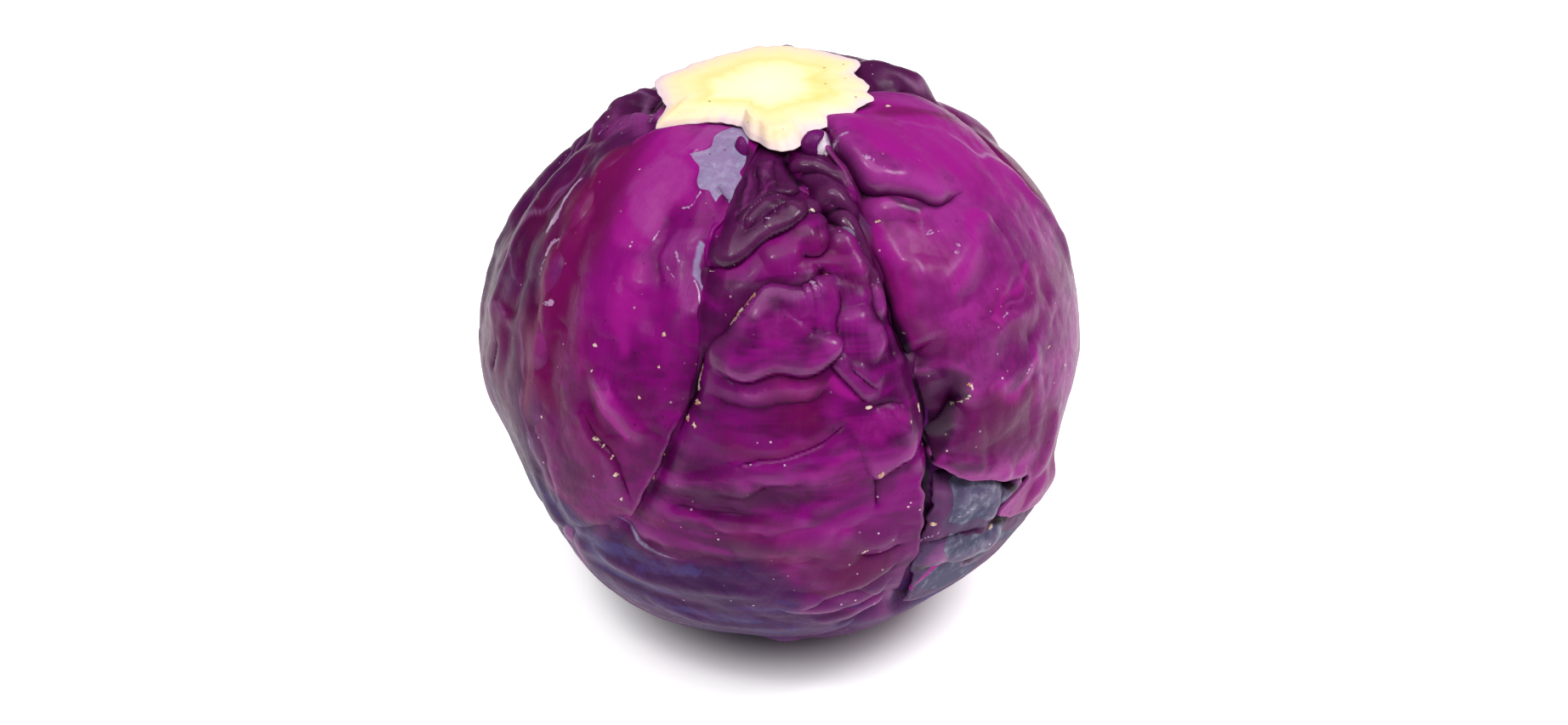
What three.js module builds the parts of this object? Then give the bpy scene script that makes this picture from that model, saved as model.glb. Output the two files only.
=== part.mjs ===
// A head of red cabbage, standing on its crown with the cut stem on top.
// Millimetres, +Z up. The origin is the middle of the flat spot that the head rests on.
// A place on the head is [round, down] in degrees: round from the front (-Y) towards +X,
// down from the stem.
import * as THREE from 'three';

// Driving dimensions
const HEAD_RADIUS = 75;
const CENTRE_HEIGHT = 72;
const LEAF_THICKNESS = 1.2;
const LEAF_GAP = 0.9;
const HIDDEN_SLACK = 2.2;
const EDGE_WAVE = 0.025;
const EDGE_CURL = 1.6;
const CURL_WIDTH = 8;
const CURL_START = 0.15;
const CURL_RIPPLES = 7;
const STEM_TOP = 146;
const STEM_OFFSET = -4.5;
const RIM_THICKNESS = 1.2;
const CORE_DEPTH = 57;
const CORE_CLEARANCE = 0.5;
const SHOULDER_DIP = 9;
const SHOULDER_SPREAD = 17;

// How far, in mm, a leaf lifts the one above it beside its own edge, and where the lift has died away
const DRAPE_FULL = 4;
const DRAPE_NONE = 13;
const SLACK_START = 2;
const SLACK_FULL = 12;

const LEAF_STEP = LEAF_THICKNESS + LEAF_GAP;
const OUTLINE_SAMPLES = 28;
const STROKE_SAMPLES = 20;
const SMALLEST_DROP = 0.05;

function heading([round, down]) {
  const turn = THREE.MathUtils.degToRad(round);
  const fall = THREE.MathUtils.degToRad(down);
  return new THREE.Vector3(
    Math.sin(fall) * Math.sin(turn), -Math.sin(fall) * Math.cos(turn), Math.cos(fall));
}

function curveOver(places) {
  return new THREE.CatmullRomCurve3(places.map(heading), false, 'catmullrom');
}

// Broad form: where the head swells or is pressed in, [place, height in mm, spread in degrees]
const SWELLS = [
  [[-70, 104], -4.8, 14],
  [[-92, 76], -0.6, 14],
  [[-114, 48], -4.2, 15],
  [[66, 107], 1.6, 10],
  [[60, 121], -0.8, 7],
  [[42, 133], -1.2, 9],
  [[96, 68], 1.2, 14],
  [[-8, 141], -1.4, 12],
  [[121, 42], -5.2, 10],
  [[-132, 37], -3.8, 11],
  [[-86, 88], -1.4, 8],
  [[76, 102], -2.8, 8],
  [[-62, 120], -1.6, 8],
  [[-42, 132], 0.8, 8],
  [[10, 23], -3.0, 8],
  [[10, 37], 1.4, 6],
  [[-2, 57], 1.6, 9],
  [[29, 63], -3.2, 6],
  [[34, 73], -1.2, 7],
  [[50, 26], 1.4, 10],
  [[20, 75], 1.6, 6],
  [[-36, 60], 1.0, 12],
  [[0, 88], 0.8, 13],
  [[55, 60], 0.8, 14],
  [[150, 70], 1.2, 20],
  [[-150, 80], 1.2, 22],
  [[180, 105], -1.6, 18],
  [[118, 100], -1.8, 16],
];

// Folds pressed into the leaves and ridges raised on them: route, height in mm, half width in mm
const STROKES = [
  { route: [[30, 31], [28, 38], [27, 48], [27, 60], [29, 68]], height: -3.9, width: 5 },
  { route: [[29.6, 68], [28.6, 78], [28.8, 88]], height: -2.0, width: 4 },
  { route: [[35, 31.5], [42, 34], [52, 38], [64, 40.6]], height: -3.2, width: 4 },
  { route: [[38, 18], [37, 24], [40, 29.5], [48, 32.5], [60, 35.5]], height: 2.3, width: 5.4 },
  { route: [[31, 35], [38, 36.5], [47, 39]], height: 1.0, width: 4 },
  { route: [[-19, 44.5], [-11, 42], [0, 37.5], [8, 32]], height: -2.4, width: 4 },
  { route: [[12, 46.5], [1, 48], [-7, 52], [-15, 60]], height: -2.2, width: 4 },
  { route: [[8, 51], [-4, 55], [-10, 59]], height: 1.2, width: 5 },
  { route: [[-12, 62], [0, 62.6], [12, 59]], height: -1.8, width: 3.8 },
  { route: [[-14, 66], [0, 66], [10, 64]], height: 0.9, width: 4 },
  { route: [[-14, 75], [0, 74], [12, 71]], height: 0.8, width: 4 },
  { route: [[-12, 81], [0, 78.4], [12, 73]], height: -1.2, width: 4 },
  { route: [[-22, 84], [0, 82.5], [16, 78]], height: 0.7, width: 4 },
  { route: [[-26, 88], [-4, 86.8], [14, 83]], height: -0.9, width: 4 },
  { route: [[-10, 95], [4, 95.5], [18, 88]], height: 0.8, width: 4 },
  { route: [[4, 18], [6, 24], [12, 30]], height: -2.4, width: 3.6 },
  { route: [[12, 22], [20, 25], [26, 29]], height: 1.4, width: 4.4 },
  { route: [[13, 31], [20, 38], [22.5, 44]], height: 1.4, width: 3.8 },
  { route: [[10, 38], [7, 42], [5, 45]], height: 1.2, width: 4 },
  { route: [[17, 40], [19, 46], [17, 54], [20, 61]], height: 1.3, width: 3.8 },
  { route: [[12, 58], [13, 52], [13.5, 46]], height: -1.4, width: 3.6 },
  { route: [[10, 60.6], [14, 64.6], [17, 68.4]], height: 1.0, width: 3.8 },
  { route: [[18, 85], [24, 82], [28, 79]], height: -1.4, width: 3.6 },
  { route: [[-14, 58], [-17, 64], [-19, 73], [-23, 83], [-27, 91]], height: -2.2, width: 4 },
  { route: [[-40, 77], [-34, 81.5], [-29.5, 88]], height: -1.4, width: 4 },
  { route: [[-74, 28], [-66.5, 46], [-59.5, 60], [-55, 80]], height: 1.6, width: 4.4 },
  { route: [[-58, 46], [-51, 60], [-48, 84]], height: -1.2, width: 5 },
  { route: [[-50, 30], [-44, 48], [-40, 62]], height: 1.0, width: 5.4 },
  { route: [[-33, 34], [-30, 48], [-27, 60]], height: -1.0, width: 4.6 },
  { route: [[-37, 68], [-31, 73.5], [-25, 77]], height: 0.9, width: 4 },
  { route: [[-82, 36], [-74, 54], [-66, 84]], height: -1.6, width: 4.4 },
  { route: [[-104, 30], [-98, 48], [-92, 70], [-84, 94]], height: 1.4, width: 4.6 },
  { route: [[-114, 27], [-104, 27.5], [-94, 30]], height: -2.0, width: 4.4 },
  { route: [[-114, 33.5], [-104, 35], [-95, 39]], height: 1.6, width: 4.4 },
  { route: [[28, 86], [34, 87.5], [40, 91], [46, 95.5], [53, 98]], height: -2.2, width: 4 },
  { route: [[19, 109], [24, 106], [30, 106.5], [38, 110], [48, 116]], height: -1.8, width: 4 },
  { route: [[60, 88], [58, 97], [51, 99.5]], height: 1.4, width: 4.4 },
  { route: [[46, 106], [54, 107.5], [62, 108]], height: 1.2, width: 4 },
  { route: [[29, 74.6], [34, 73.6], [38, 72.6]], height: -1.8, width: 4 },
  { route: [[38, 53], [52, 49], [66, 46]], height: 0.9, width: 4.4 },
  { route: [[40, 57], [48, 56], [58, 52]], height: -0.9, width: 4 },
  { route: [[46, 64], [56, 60], [68, 57]], height: 0.7, width: 4.4 },
  { route: [[84, 40], [89, 56], [88, 74]], height: 1.2, width: 4.4 },
  { route: [[122, 20], [126, 50], [125, 90], [128, 132]], height: 2.2, width: 4.6 },
  { route: [[180, 20], [179, 60], [181, 100], [180, 140]], height: 2.2, width: 4.6 },
  { route: [[-138, 22], [-134, 60], [-135, 100], [-132, 134]], height: 2.2, width: 4.6 },
  { route: [[-135, 60], [-120, 76], [-106, 84]], height: 1.3, width: 4.4 },
  { route: [[-135, 74], [-152, 88], [-166, 94]], height: 1.3, width: 4.4 },
  { route: [[125, 62], [140, 78], [156, 86]], height: 1.3, width: 4.4 },
  { route: [[125, 76], [108, 90], [96, 96]], height: 1.3, width: 4.4 },
  { route: [[108, 23], [116, 24], [126, 27]], height: -1.8, width: 4.8 },
  { route: [[134, 22], [131, 28], [128, 34]], height: 2.0, width: 4.4 },
  { route: [[-168, 34], [-158, 58], [-160, 82]], height: -2.2, width: 5.5 },
  { route: [[150, 32], [158, 56], [152, 80]], height: -2.2, width: 5.5 },
  { route: [[108, 84], [118, 97], [134, 104]], height: -2.0, width: 5.5 },
  { route: [[-108, 100], [-122, 112], [-140, 114]], height: -2.0, width: 5.5 },
].map((stroke) => ({ ...stroke, points: curveOver(stroke.route).getPoints(STROKE_SAMPLES) }));

// The leaves from the innermost outwards. Each line of a blade is its left edge, its midrib and its
// right edge at one distance from the stem, and the lines run from the base to the tip.
const LEAVES = [
  {
    name: 'back_leaf', colour: 0x6d1f5f, across: 12, along: 14, waves: 3.1,
    blade: [
      [[150, 17], [180, 17], [-150, 18]],
      [[138, 50], [180, 49], [-138, 50]],
      [[138, 80], [180, 80], [-138, 80]],
      [[145, 110], [180, 113], [-145, 110]],
      [[164, 147], [180, 149], [-164, 147]],
    ],
  },
  {
    name: 'back_left_leaf', colour: 0x77205f, across: 13, along: 14, waves: 2.6,
    blade: [
      [[-168, 18], [-140, 18], [-108, 20]],
      [[-177, 50], [-135, 49], [-92, 50]],
      [[-179, 80], [-135, 80], [-87, 80]],
      [[-170, 110], [-134, 113], [-80, 110]],
      [[-152, 150], [-130, 154], [-98, 150]],
    ],
  },
  {
    name: 'back_right_leaf', colour: 0x8a2a72, across: 13, along: 14, waves: 2.9,
    blade: [
      [[92, 15], [125, 15], [158, 17]],
      [[76, 50], [122, 49], [172, 50]],
      [[74, 80], [122, 80], [174, 80]],
      [[73, 108], [124, 112], [166, 110]],
      [[100, 141], [126, 153], [150, 150]],
    ],
  },
  {
    name: 'crown_leaf', colour: 0x4e2f68, across: 20, along: 30, waves: 3.4,
    blade: [
      [[-22, 20], [0, 20], [20, 20]],
      [[-44, 60], [-2, 58], [36, 60]],
      [[-66, 96], [0, 94], [62, 96]],
      [[-84, 120], [0, 128], [82, 120]],
      [[-102, 140], [0, 162], [102, 140]],
      [[-138, 152], [180, 164], [138, 152]],
      [[-164, 142], [180, 138], [164, 142]],
    ],
  },
  {
    name: 'lower_right_leaf', colour: 0x56496f, across: 10, along: 22, waves: 4.2,
    blade: [
      [[44, 27], [50, 27], [56, 27]],
      [[40, 58], [54, 58], [68, 58]],
      [[31, 85], [51, 85], [72, 85]],
      [[27, 103], [47, 104], [70, 102]],
      [[28, 120], [42, 121], [54, 117]],
    ],
  },
  {
    name: 'far_left_leaf', colour: 0x5c2752, across: 14, along: 16, waves: 3.7,
    blade: [
      [[-118, 18], [-92, 17], [-64, 18]],
      [[-124, 42], [-92, 42], [-56, 40]],
      [[-118, 66], [-84, 66], [-46, 62]],
      [[-112, 88], [-78, 88], [-42, 84]],
      [[-98, 112], [-72, 110], [-40, 101]],
      [[-80, 124], [-66, 121], [-50, 114]],
    ],
  },
  {
    name: 'front_leaf', colour: 0x7e1b6a, across: 20, along: 32, waves: 2.3,
    blade: [
      [[-26, 16], [1, 16], [28, 16]],
      [[-28, 37], [1, 37], [31, 37]],
      [[-29, 58], [3, 58], [34, 58]],
      [[-32, 80], [2, 79], [30, 79]],
      [[-42, 97], [-3, 97], [27, 98]],
      [[-52, 112], [-10, 113], [26, 109]],
      [[-48, 126], [-10, 128], [24, 122]],
      [[-30, 138], [-8, 140], [12, 136]],
    ],
  },
  {
    name: 'left_leaf', colour: 0x8d1f74, across: 14, along: 20, waves: 2.7,
    blade: [
      [[-72, 21], [-46, 17.5], [-18, 16]],
      [[-69, 36], [-44, 36], [-18, 34]],
      [[-62, 51], [-41, 50], [-18.5, 48]],
      [[-54.5, 70], [-37, 67], [-18, 64]],
      [[-51, 88], [-38, 83], [-20, 76]],
      [[-46, 98], [-38, 95], [-27, 91]],
      [[-42, 102], [-37, 101], [-32, 97]],
    ],
  },
  {
    name: 'right_leaf', colour: 0x8f2377, across: 18, along: 26, waves: 3.3,
    blade: [
      [[30, 16], [62, 14], [98, 15]],
      [[27.5, 34], [60, 33], [103, 33]],
      [[27, 50], [58, 49], [89, 50]],
      [[28.5, 66], [59, 65], [91, 67]],
      [[28, 81], [57, 81], [88, 82]],
      [[33, 87], [57, 88], [84, 89]],
      [[44, 92.5], [61, 94], [80, 95]],
      [[53, 97], [63, 98.5], [76, 99.5]],
      [[46, 101.5], [61, 103], [72, 104]],
      [[50, 105.5], [60, 108], [67, 108.5]],
    ],
  },
];

// A leaf's three lines run along it, and a parabola through them runs across it.
function spreadBlade(leaf) {
  const columns = [0, 1, 2].map((side) => curveOver(leaf.blade.map((line) => line[side])));
  return (across, along) => {
    const [left, rib, right] = columns.map((column) => column.getPoint(along));
    const turns = Math.PI * 2 * leaf.waves * along;
    const stretch = 1 + EDGE_WAVE * (Math.sin(turns) + 0.5 * Math.sin(2.7 * turns));
    left.sub(rib).multiplyScalar(stretch).add(rib);
    right.sub(rib).multiplyScalar(stretch).add(rib);
    return new THREE.Vector3()
      .addScaledVector(left, (1 - across) * (1 - 2 * across))
      .addScaledVector(rib, 4 * across * (1 - across))
      .addScaledVector(right, across * (2 * across - 1))
      .normalize();
  };
}

// The head laid flat round a leaf's middle: distances from the middle are true.
function flatten(direction, leaf) {
  const x = direction.dot(leaf.sideways);
  const y = direction.dot(leaf.upwards);
  const angle = Math.acos(THREE.MathUtils.clamp(direction.dot(leaf.middle), -1, 1));
  const length = Math.hypot(x, y) || 1;
  return new THREE.Vector2(x / length, y / length).multiplyScalar(angle * HEAD_RADIUS);
}

function prepareLeaf(leaf) {
  leaf.at = spreadBlade(leaf);
  leaf.middle = leaf.at(0.5, 0.5);
  leaf.sideways = new THREE.Vector3(0.3, 0.2, 1).cross(leaf.middle).normalize();
  leaf.upwards = leaf.middle.clone().cross(leaf.sideways);
  leaf.outline = [];
  const corners = [[0, 0], [1, 0], [1, 1], [0, 1]];
  corners.forEach(([across, along], side) => {
    const [nextAcross, nextAlong] = corners[(side + 1) % corners.length];
    for (let step = 0; step < OUTLINE_SAMPLES; step += 1) {
      const share = step / OUTLINE_SAMPLES;
      const place = leaf.at(
        THREE.MathUtils.lerp(across, nextAcross, share), THREE.MathUtils.lerp(along, nextAlong, share));
      leaf.outline.push(flatten(place, leaf));
    }
  });
}

// Distance in mm from a place to a leaf's outline, positive outside it
function outside(direction, leaf) {
  const point = flatten(direction, leaf);
  const nearest = new THREE.Vector2();
  let distance = Infinity;
  let inside = false;
  leaf.outline.forEach((start, index) => {
    const end = leaf.outline[(index + 1) % leaf.outline.length];
    const run = end.clone().sub(start);
    const share = THREE.MathUtils.clamp(point.clone().sub(start).dot(run) / run.lengthSq(), 0, 1);
    nearest.copy(start).addScaledVector(run, share);
    distance = Math.min(distance, nearest.distanceTo(point));
    const crosses = (start.y > point.y) !== (end.y > point.y);
    if (crosses && point.x < start.x + (run.x * (point.y - start.y)) / run.y) {
      inside = !inside;
    }
  });
  return inside ? -distance : distance;
}

function strokeHeight(direction, stroke) {
  const line = new THREE.Line3();
  const nearest = new THREE.Vector3();
  let best = Infinity;
  let bestShare = 0;
  for (let index = 0; index < STROKE_SAMPLES; index += 1) {
    line.set(stroke.points[index], stroke.points[index + 1]);
    const share = line.closestPointToPointParameter(direction, true);
    const distance = line.at(share, nearest).distanceTo(direction);
    if (distance < best) {
      best = distance;
      bestShare = (index + share) / STROKE_SAMPLES;
    }
  }
  const fade = THREE.MathUtils.smoothstep(Math.min(bestShare, 1 - bestShare), -0.05, 0.2);
  const away = (best * HEAD_RADIUS) / stroke.width;
  return stroke.height * fade * Math.exp(-away * away);
}

// The head's outermost surface, from its centre
function headRadius(direction) {
  const down = THREE.MathUtils.radToDeg(Math.acos(THREE.MathUtils.clamp(direction.z, -1, 1)));
  let radius = HEAD_RADIUS - SHOULDER_DIP * Math.exp(-((down / SHOULDER_SPREAD) ** 2));
  for (const [place, height, spread] of SWELLS) {
    const away = THREE.MathUtils.radToDeg(heading(place).angleTo(direction)) / spread;
    radius += height * Math.exp(-away * away);
  }
  for (const stroke of STROKES) {
    radius += strokeHeight(direction, stroke);
  }
  return radius;
}

// How deep the layer under the given leaves lies below the head's surface
function depthUnder(direction, covers) {
  let depth = 0;
  for (const leaf of covers) {
    const away = outside(direction, leaf);
    depth += LEAF_STEP * (1 - THREE.MathUtils.smoothstep(away, DRAPE_FULL, DRAPE_NONE));
    depth += HIDDEN_SLACK * THREE.MathUtils.smoothstep(-away, SLACK_START, SLACK_FULL);
  }
  return depth;
}

// Nothing goes lower than the flat spot, which the crown leaf carries with the inner layers over it
function keepAbove(direction, radius, height) {
  const drop = Math.max(-direction.z, SMALLEST_DROP);
  return Math.min(radius, (CENTRE_HEIGHT - height) / drop);
}

function headPoint(direction, radius) {
  return direction.clone().multiplyScalar(radius).add(new THREE.Vector3(0, 0, CENTRE_HEIGHT));
}

const CROWN = LEAVES.findIndex((leaf) => leaf.name === 'crown_leaf');

function closedMesh(name, points, faces, material) {
  const geometry = new THREE.BufferGeometry();
  const places = points.flatMap((point) => point.toArray());
  geometry.setAttribute('position', new THREE.Float32BufferAttribute(places, 3));
  geometry.setIndex(faces.flat());
  const mesh = new THREE.Mesh(geometry, material);
  mesh.name = name;
  return mesh;
}

// A free edge lifts off the head in ripples
function edgeCurl(leaf, direction, along, covers) {
  const ripple = 0.5 + 0.5 * Math.sin(Math.PI * CURL_RIPPLES * along + leaf.waves);
  const nearEdge = 1 - THREE.MathUtils.smoothstep(-outside(direction, leaf), 0, CURL_WIDTH);
  const clearOfStem = THREE.MathUtils.smoothstep(along, CURL_START, 2 * CURL_START);
  const free = covers.reduce(
    (share, cover) => share * THREE.MathUtils.smoothstep(outside(direction, cover), 0, DRAPE_NONE), 1);
  return EDGE_CURL * ripple * nearEdge * clearOfStem * free;
}

// A blade: the same net of triangles on the outer and the inner face, joined along its edge
function makeLeaf(leaf, index) {
  const covers = LEAVES.slice(index + 1);
  const bed = Math.max(CROWN - index, 0) * LEAF_STEP;
  const outer = [];
  const inner = [];
  for (let row = 0; row <= leaf.along; row += 1) {
    for (let column = 0; column <= leaf.across; column += 1) {
      const direction = leaf.at(column / leaf.across, row / leaf.along);
      const curl = edgeCurl(leaf, direction, row / leaf.along, covers);
      const radius = headRadius(direction) - depthUnder(direction, covers) + curl;
      outer.push(headPoint(direction, keepAbove(direction, radius, bed)));
      inner.push(headPoint(direction, keepAbove(direction, radius - LEAF_THICKNESS, bed + LEAF_THICKNESS)));
    }
  }
  const width = leaf.across + 1;
  const faces = [];
  for (let row = 0; row < leaf.along; row += 1) {
    for (let column = 0; column < leaf.across; column += 1) {
      const corner = row * width + column;
      const cell = [[corner, corner + width, corner + 1], [corner + 1, corner + width, corner + width + 1]];
      for (const [a, b, c] of cell) {
        faces.push([a, b, c], [a + outer.length, c + outer.length, b + outer.length]);
      }
    }
  }
  const rim = [];
  for (let column = 0; column < leaf.across; column += 1) {
    rim.push(column);
  }
  for (let row = 0; row < leaf.along; row += 1) {
    rim.push(row * width + leaf.across);
  }
  for (let column = leaf.across; column > 0; column -= 1) {
    rim.push(leaf.along * width + column);
  }
  for (let row = leaf.along; row > 0; row -= 1) {
    rim.push(row * width);
  }
  rim.forEach((start, place) => {
    const end = rim[(place + 1) % rim.length];
    faces.push([start, end, end + outer.length], [start, end + outer.length, start + outer.length]);
  });
  const material = new THREE.MeshStandardMaterial({ color: leaf.colour, roughness: 0.42, metalness: 0 });
  return closedMesh(leaf.name, [...outer, ...inner], faces, material);
}

// Rings of points from one end of a body to the other, each end closed by a single point
function ringBody(name, rings, firstPoint, lastPoint, material) {
  const count = rings[0].length;
  const points = [...rings.flat(), firstPoint, lastPoint];
  const first = points.length - 2;
  const last = points.length - 1;
  const end = (rings.length - 1) * count;
  const faces = [];
  for (let turn = 0; turn < count; turn += 1) {
    const next = (turn + 1) % count;
    faces.push([first, turn, next]);
    faces.push([last, end + next, end + turn]);
    for (let ring = 0; ring < rings.length - 1; ring += 1) {
      const here = ring * count;
      faces.push([here + turn, here + count + turn, here + next]);
      faces.push([here + next, here + count + turn, here + count + next]);
    }
  }
  return closedMesh(name, points, faces, material);
}

// The core narrows downwards inside the head: radius at a depth below the cut face
const CORE_PROFILE = [[6.5, 13], [14, 13.5], [28, 12.5], [42, 10.5], [50, 8], [55, 4.5]];

// The ragged rim of the cut stem, where the outer leaves were trimmed off:
// [round, distance from the stem's middle, how far it hangs below the cut face]
const CUT_RIM = [
  [-178, 26, 0], [-167, 24.7, 0], [-155, 23.6, 0], [-143, 23.2, 0], [-131, 23.8, 0.2],
  [-120, 24.6, 0.4], [-114, 25.9, 0.6], [-106, 27.6, 0.8], [-97, 26, 1.2], [-89, 24.6, 1.4],
  [-79, 24.1, 1.8], [-75, 24.8, 2.4], [-68, 26.6, 2.8], [-64, 24.4, 2.8], [-59, 21.2, 2.8],
  [-51, 17.6, 2.6], [-41, 15.4, 2.4], [-29, 14.4, 2.6], [-23, 13.9, 3.0], [-17, 15.2, 3.2],
  [-10, 18.2, 3.2], [-2, 20.5, 3.4], [4, 23, 3.4], [10, 24.9, 3.4], [17, 25.1, 3.4],
  [23, 23.5, 3.0], [28, 21.1, 2.0], [32, 20.1, 1.8], [41, 20.9, 2.0], [48, 21.2, 2.0],
  [55, 20.9, 1.6], [63, 23, 1.2], [71, 24, 1.0], [80, 25.3, 1.0], [84, 27, 1.2],
  [87, 26.7, 1.0], [92, 25.3, 0.8], [100, 26.9, 0.8], [109, 25, 0.6], [115, 25, 0.4],
  [121, 28.6, 0.4], [127, 29.2, 0.2], [134, 28.3, 0], [151, 27.7, 0], [167, 26.5, 0],
];

// Across the stem: share of the rim's distance, depth below the cut face, share of the rim's hang
const STEM_SECTION = [
  [0.45, 0.2, 0], [0.8, 0.4, 0.15], [0.95, 0.8, 0.75], [1, 1.2, 1], [0.93, 0.8 + RIM_THICKNESS, 1],
  [0.74, 2.3 + RIM_THICKNESS, 0.5],
];

function stemPoint(round, distance, depth) {
  const turn = THREE.MathUtils.degToRad(round);
  const lean = STEM_OFFSET * (1 - depth / CORE_DEPTH);
  return new THREE.Vector3(
    lean + distance * Math.sin(turn), -distance * Math.cos(turn), STEM_TOP - depth);
}

function makeStem() {
  const rings = STEM_SECTION.map(([share, depth, hang]) => CUT_RIM.map(
    ([round, distance, drop]) => stemPoint(round, distance * share, depth + drop * hang)));
  for (const [depth, radius] of CORE_PROFILE) {
    rings.push(CUT_RIM.map(([round]) => stemPoint(round, radius, depth)));
  }
  const material = new THREE.MeshStandardMaterial({ color: 0xf3e3a6, roughness: 0.6, metalness: 0 });
  return ringBody('stem', rings, stemPoint(0, 0, 0), stemPoint(0, 0, CORE_DEPTH), material);
}

// The tight inner head: all the leaves that the outer ones hide, with a socket that the core fills
const HEART_TURNS = 36;
const HEART_RINGS = 15;
const HEART_MOUTH = 17;

function makeHeart() {
  const bed = (CROWN + 1) * LEAF_STEP;
  const rounds = Array.from({ length: HEART_TURNS }, (_, turn) => (360 / HEART_TURNS) * turn);
  const skin = (place) => {
    const direction = heading(place);
    const radius = headRadius(direction) - depthUnder(direction, LEAVES) - HIDDEN_SLACK;
    return headPoint(direction, keepAbove(direction, radius, bed));
  };
  const rings = [];
  for (const [depth, radius] of [...CORE_PROFILE].reverse().slice(0, -2)) {
    rings.push(rounds.map((round) => stemPoint(round, radius + CORE_CLEARANCE, depth)));
  }
  for (let ring = 0; ring <= HEART_RINGS; ring += 1) {
    const down = HEART_MOUTH + ((180 - HEART_MOUTH) * ring) / (HEART_RINGS + 1);
    rings.push(rounds.map((round) => skin([round, down])));
  }
  const socketEnd = stemPoint(0, 0, CORE_DEPTH + CORE_CLEARANCE);
  const material = new THREE.MeshStandardMaterial({ color: 0x6a2a66, roughness: 0.5, metalness: 0 });
  return ringBody('heart', rings, socketEnd, skin([0, 180]), material);
}

LEAVES.forEach(prepareLeaf);

const cabbage = new THREE.Group();
cabbage.add(makeHeart());
LEAVES.forEach((leaf, index) => cabbage.add(makeLeaf(leaf, index)));
cabbage.add(makeStem());

export default cabbage;
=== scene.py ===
import math
import bpy
import numpy as np
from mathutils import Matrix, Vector


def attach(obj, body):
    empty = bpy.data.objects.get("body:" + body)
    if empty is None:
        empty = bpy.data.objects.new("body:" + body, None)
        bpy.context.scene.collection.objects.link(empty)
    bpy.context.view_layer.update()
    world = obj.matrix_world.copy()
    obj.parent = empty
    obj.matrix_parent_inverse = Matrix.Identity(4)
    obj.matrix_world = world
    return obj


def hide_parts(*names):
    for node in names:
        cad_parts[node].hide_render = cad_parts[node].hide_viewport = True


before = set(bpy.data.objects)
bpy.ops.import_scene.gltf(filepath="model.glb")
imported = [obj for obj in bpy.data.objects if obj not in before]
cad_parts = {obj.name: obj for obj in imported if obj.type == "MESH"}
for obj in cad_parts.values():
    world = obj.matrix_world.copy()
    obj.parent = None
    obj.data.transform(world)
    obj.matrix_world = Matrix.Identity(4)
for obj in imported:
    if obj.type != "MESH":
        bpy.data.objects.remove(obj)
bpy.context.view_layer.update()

# The view, the ground and the light
# A white sweep under one broad overhead lamp with white walls all round, as in a product photo.
# The camera looks down on the head from the front.
mm = 0.001
head_radius = 75.0
head_centre = Vector((0.0, 0.0, 72.0 * mm))
camera_elevation = math.radians(33.0)
camera_distance = 0.700
camera_lens = 62.5
aim_aside = 0.87 * mm
aim_below = 4.7 * mm

towards_camera = Vector((0.0, -math.cos(camera_elevation), math.sin(camera_elevation)))
camera_up = Vector((0.0, math.sin(camera_elevation), math.cos(camera_elevation)))
aim = head_centre + Vector((aim_aside, 0.0, 0.0)) - camera_up * aim_below

bpy.ops.object.camera_add(location=aim + towards_camera * camera_distance)
camera = bpy.context.object
camera.rotation_euler = (-towards_camera).to_track_quat("-Z", "Y").to_euler()
camera.data.lens = camera_lens
camera.data.sensor_width = 36.0
camera.data.clip_start = 0.01
bpy.context.scene.camera = camera
bpy.context.scene.view_settings.view_transform = "Standard"


def add_lamp(name, place, size, power, colour):
    bpy.ops.object.light_add(type="AREA", location=place)
    lamp = bpy.context.object
    lamp.name = name
    lamp.data.size = size
    lamp.data.energy = power
    lamp.data.color = colour
    lamp.rotation_euler = (head_centre - Vector(place)).to_track_quat("-Z", "Y").to_euler()
    return lamp


add_lamp("front_lamp", place=(-0.30, -0.60, 1.10), size=0.16, power=2.0, colour=(1.0, 0.98, 0.97))
add_lamp("right_lamp", place=(0.62, -0.22, 0.95), size=0.35, power=5.7, colour=(1.0, 0.98, 1.0))
bpy.ops.object.light_add(type="SUN", location=(0.0, 0.0, 1.0))
skylight = bpy.context.object
skylight.name = "broad_skylight"
skylight.data.energy = 2.4
skylight.data.angle = math.radians(60.0)
skylight.rotation_euler = Vector((-0.08, -0.20, 1.0)).to_track_quat("Z", "Y").to_euler()

room = bpy.data.worlds.new("white_room")
bpy.context.scene.world = room
room.use_nodes = True
room.node_tree.nodes["Background"].inputs["Color"].default_value = (1.0, 1.0, 1.0, 1.0)
room.node_tree.nodes["Background"].inputs["Strength"].default_value = 0.17


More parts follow.
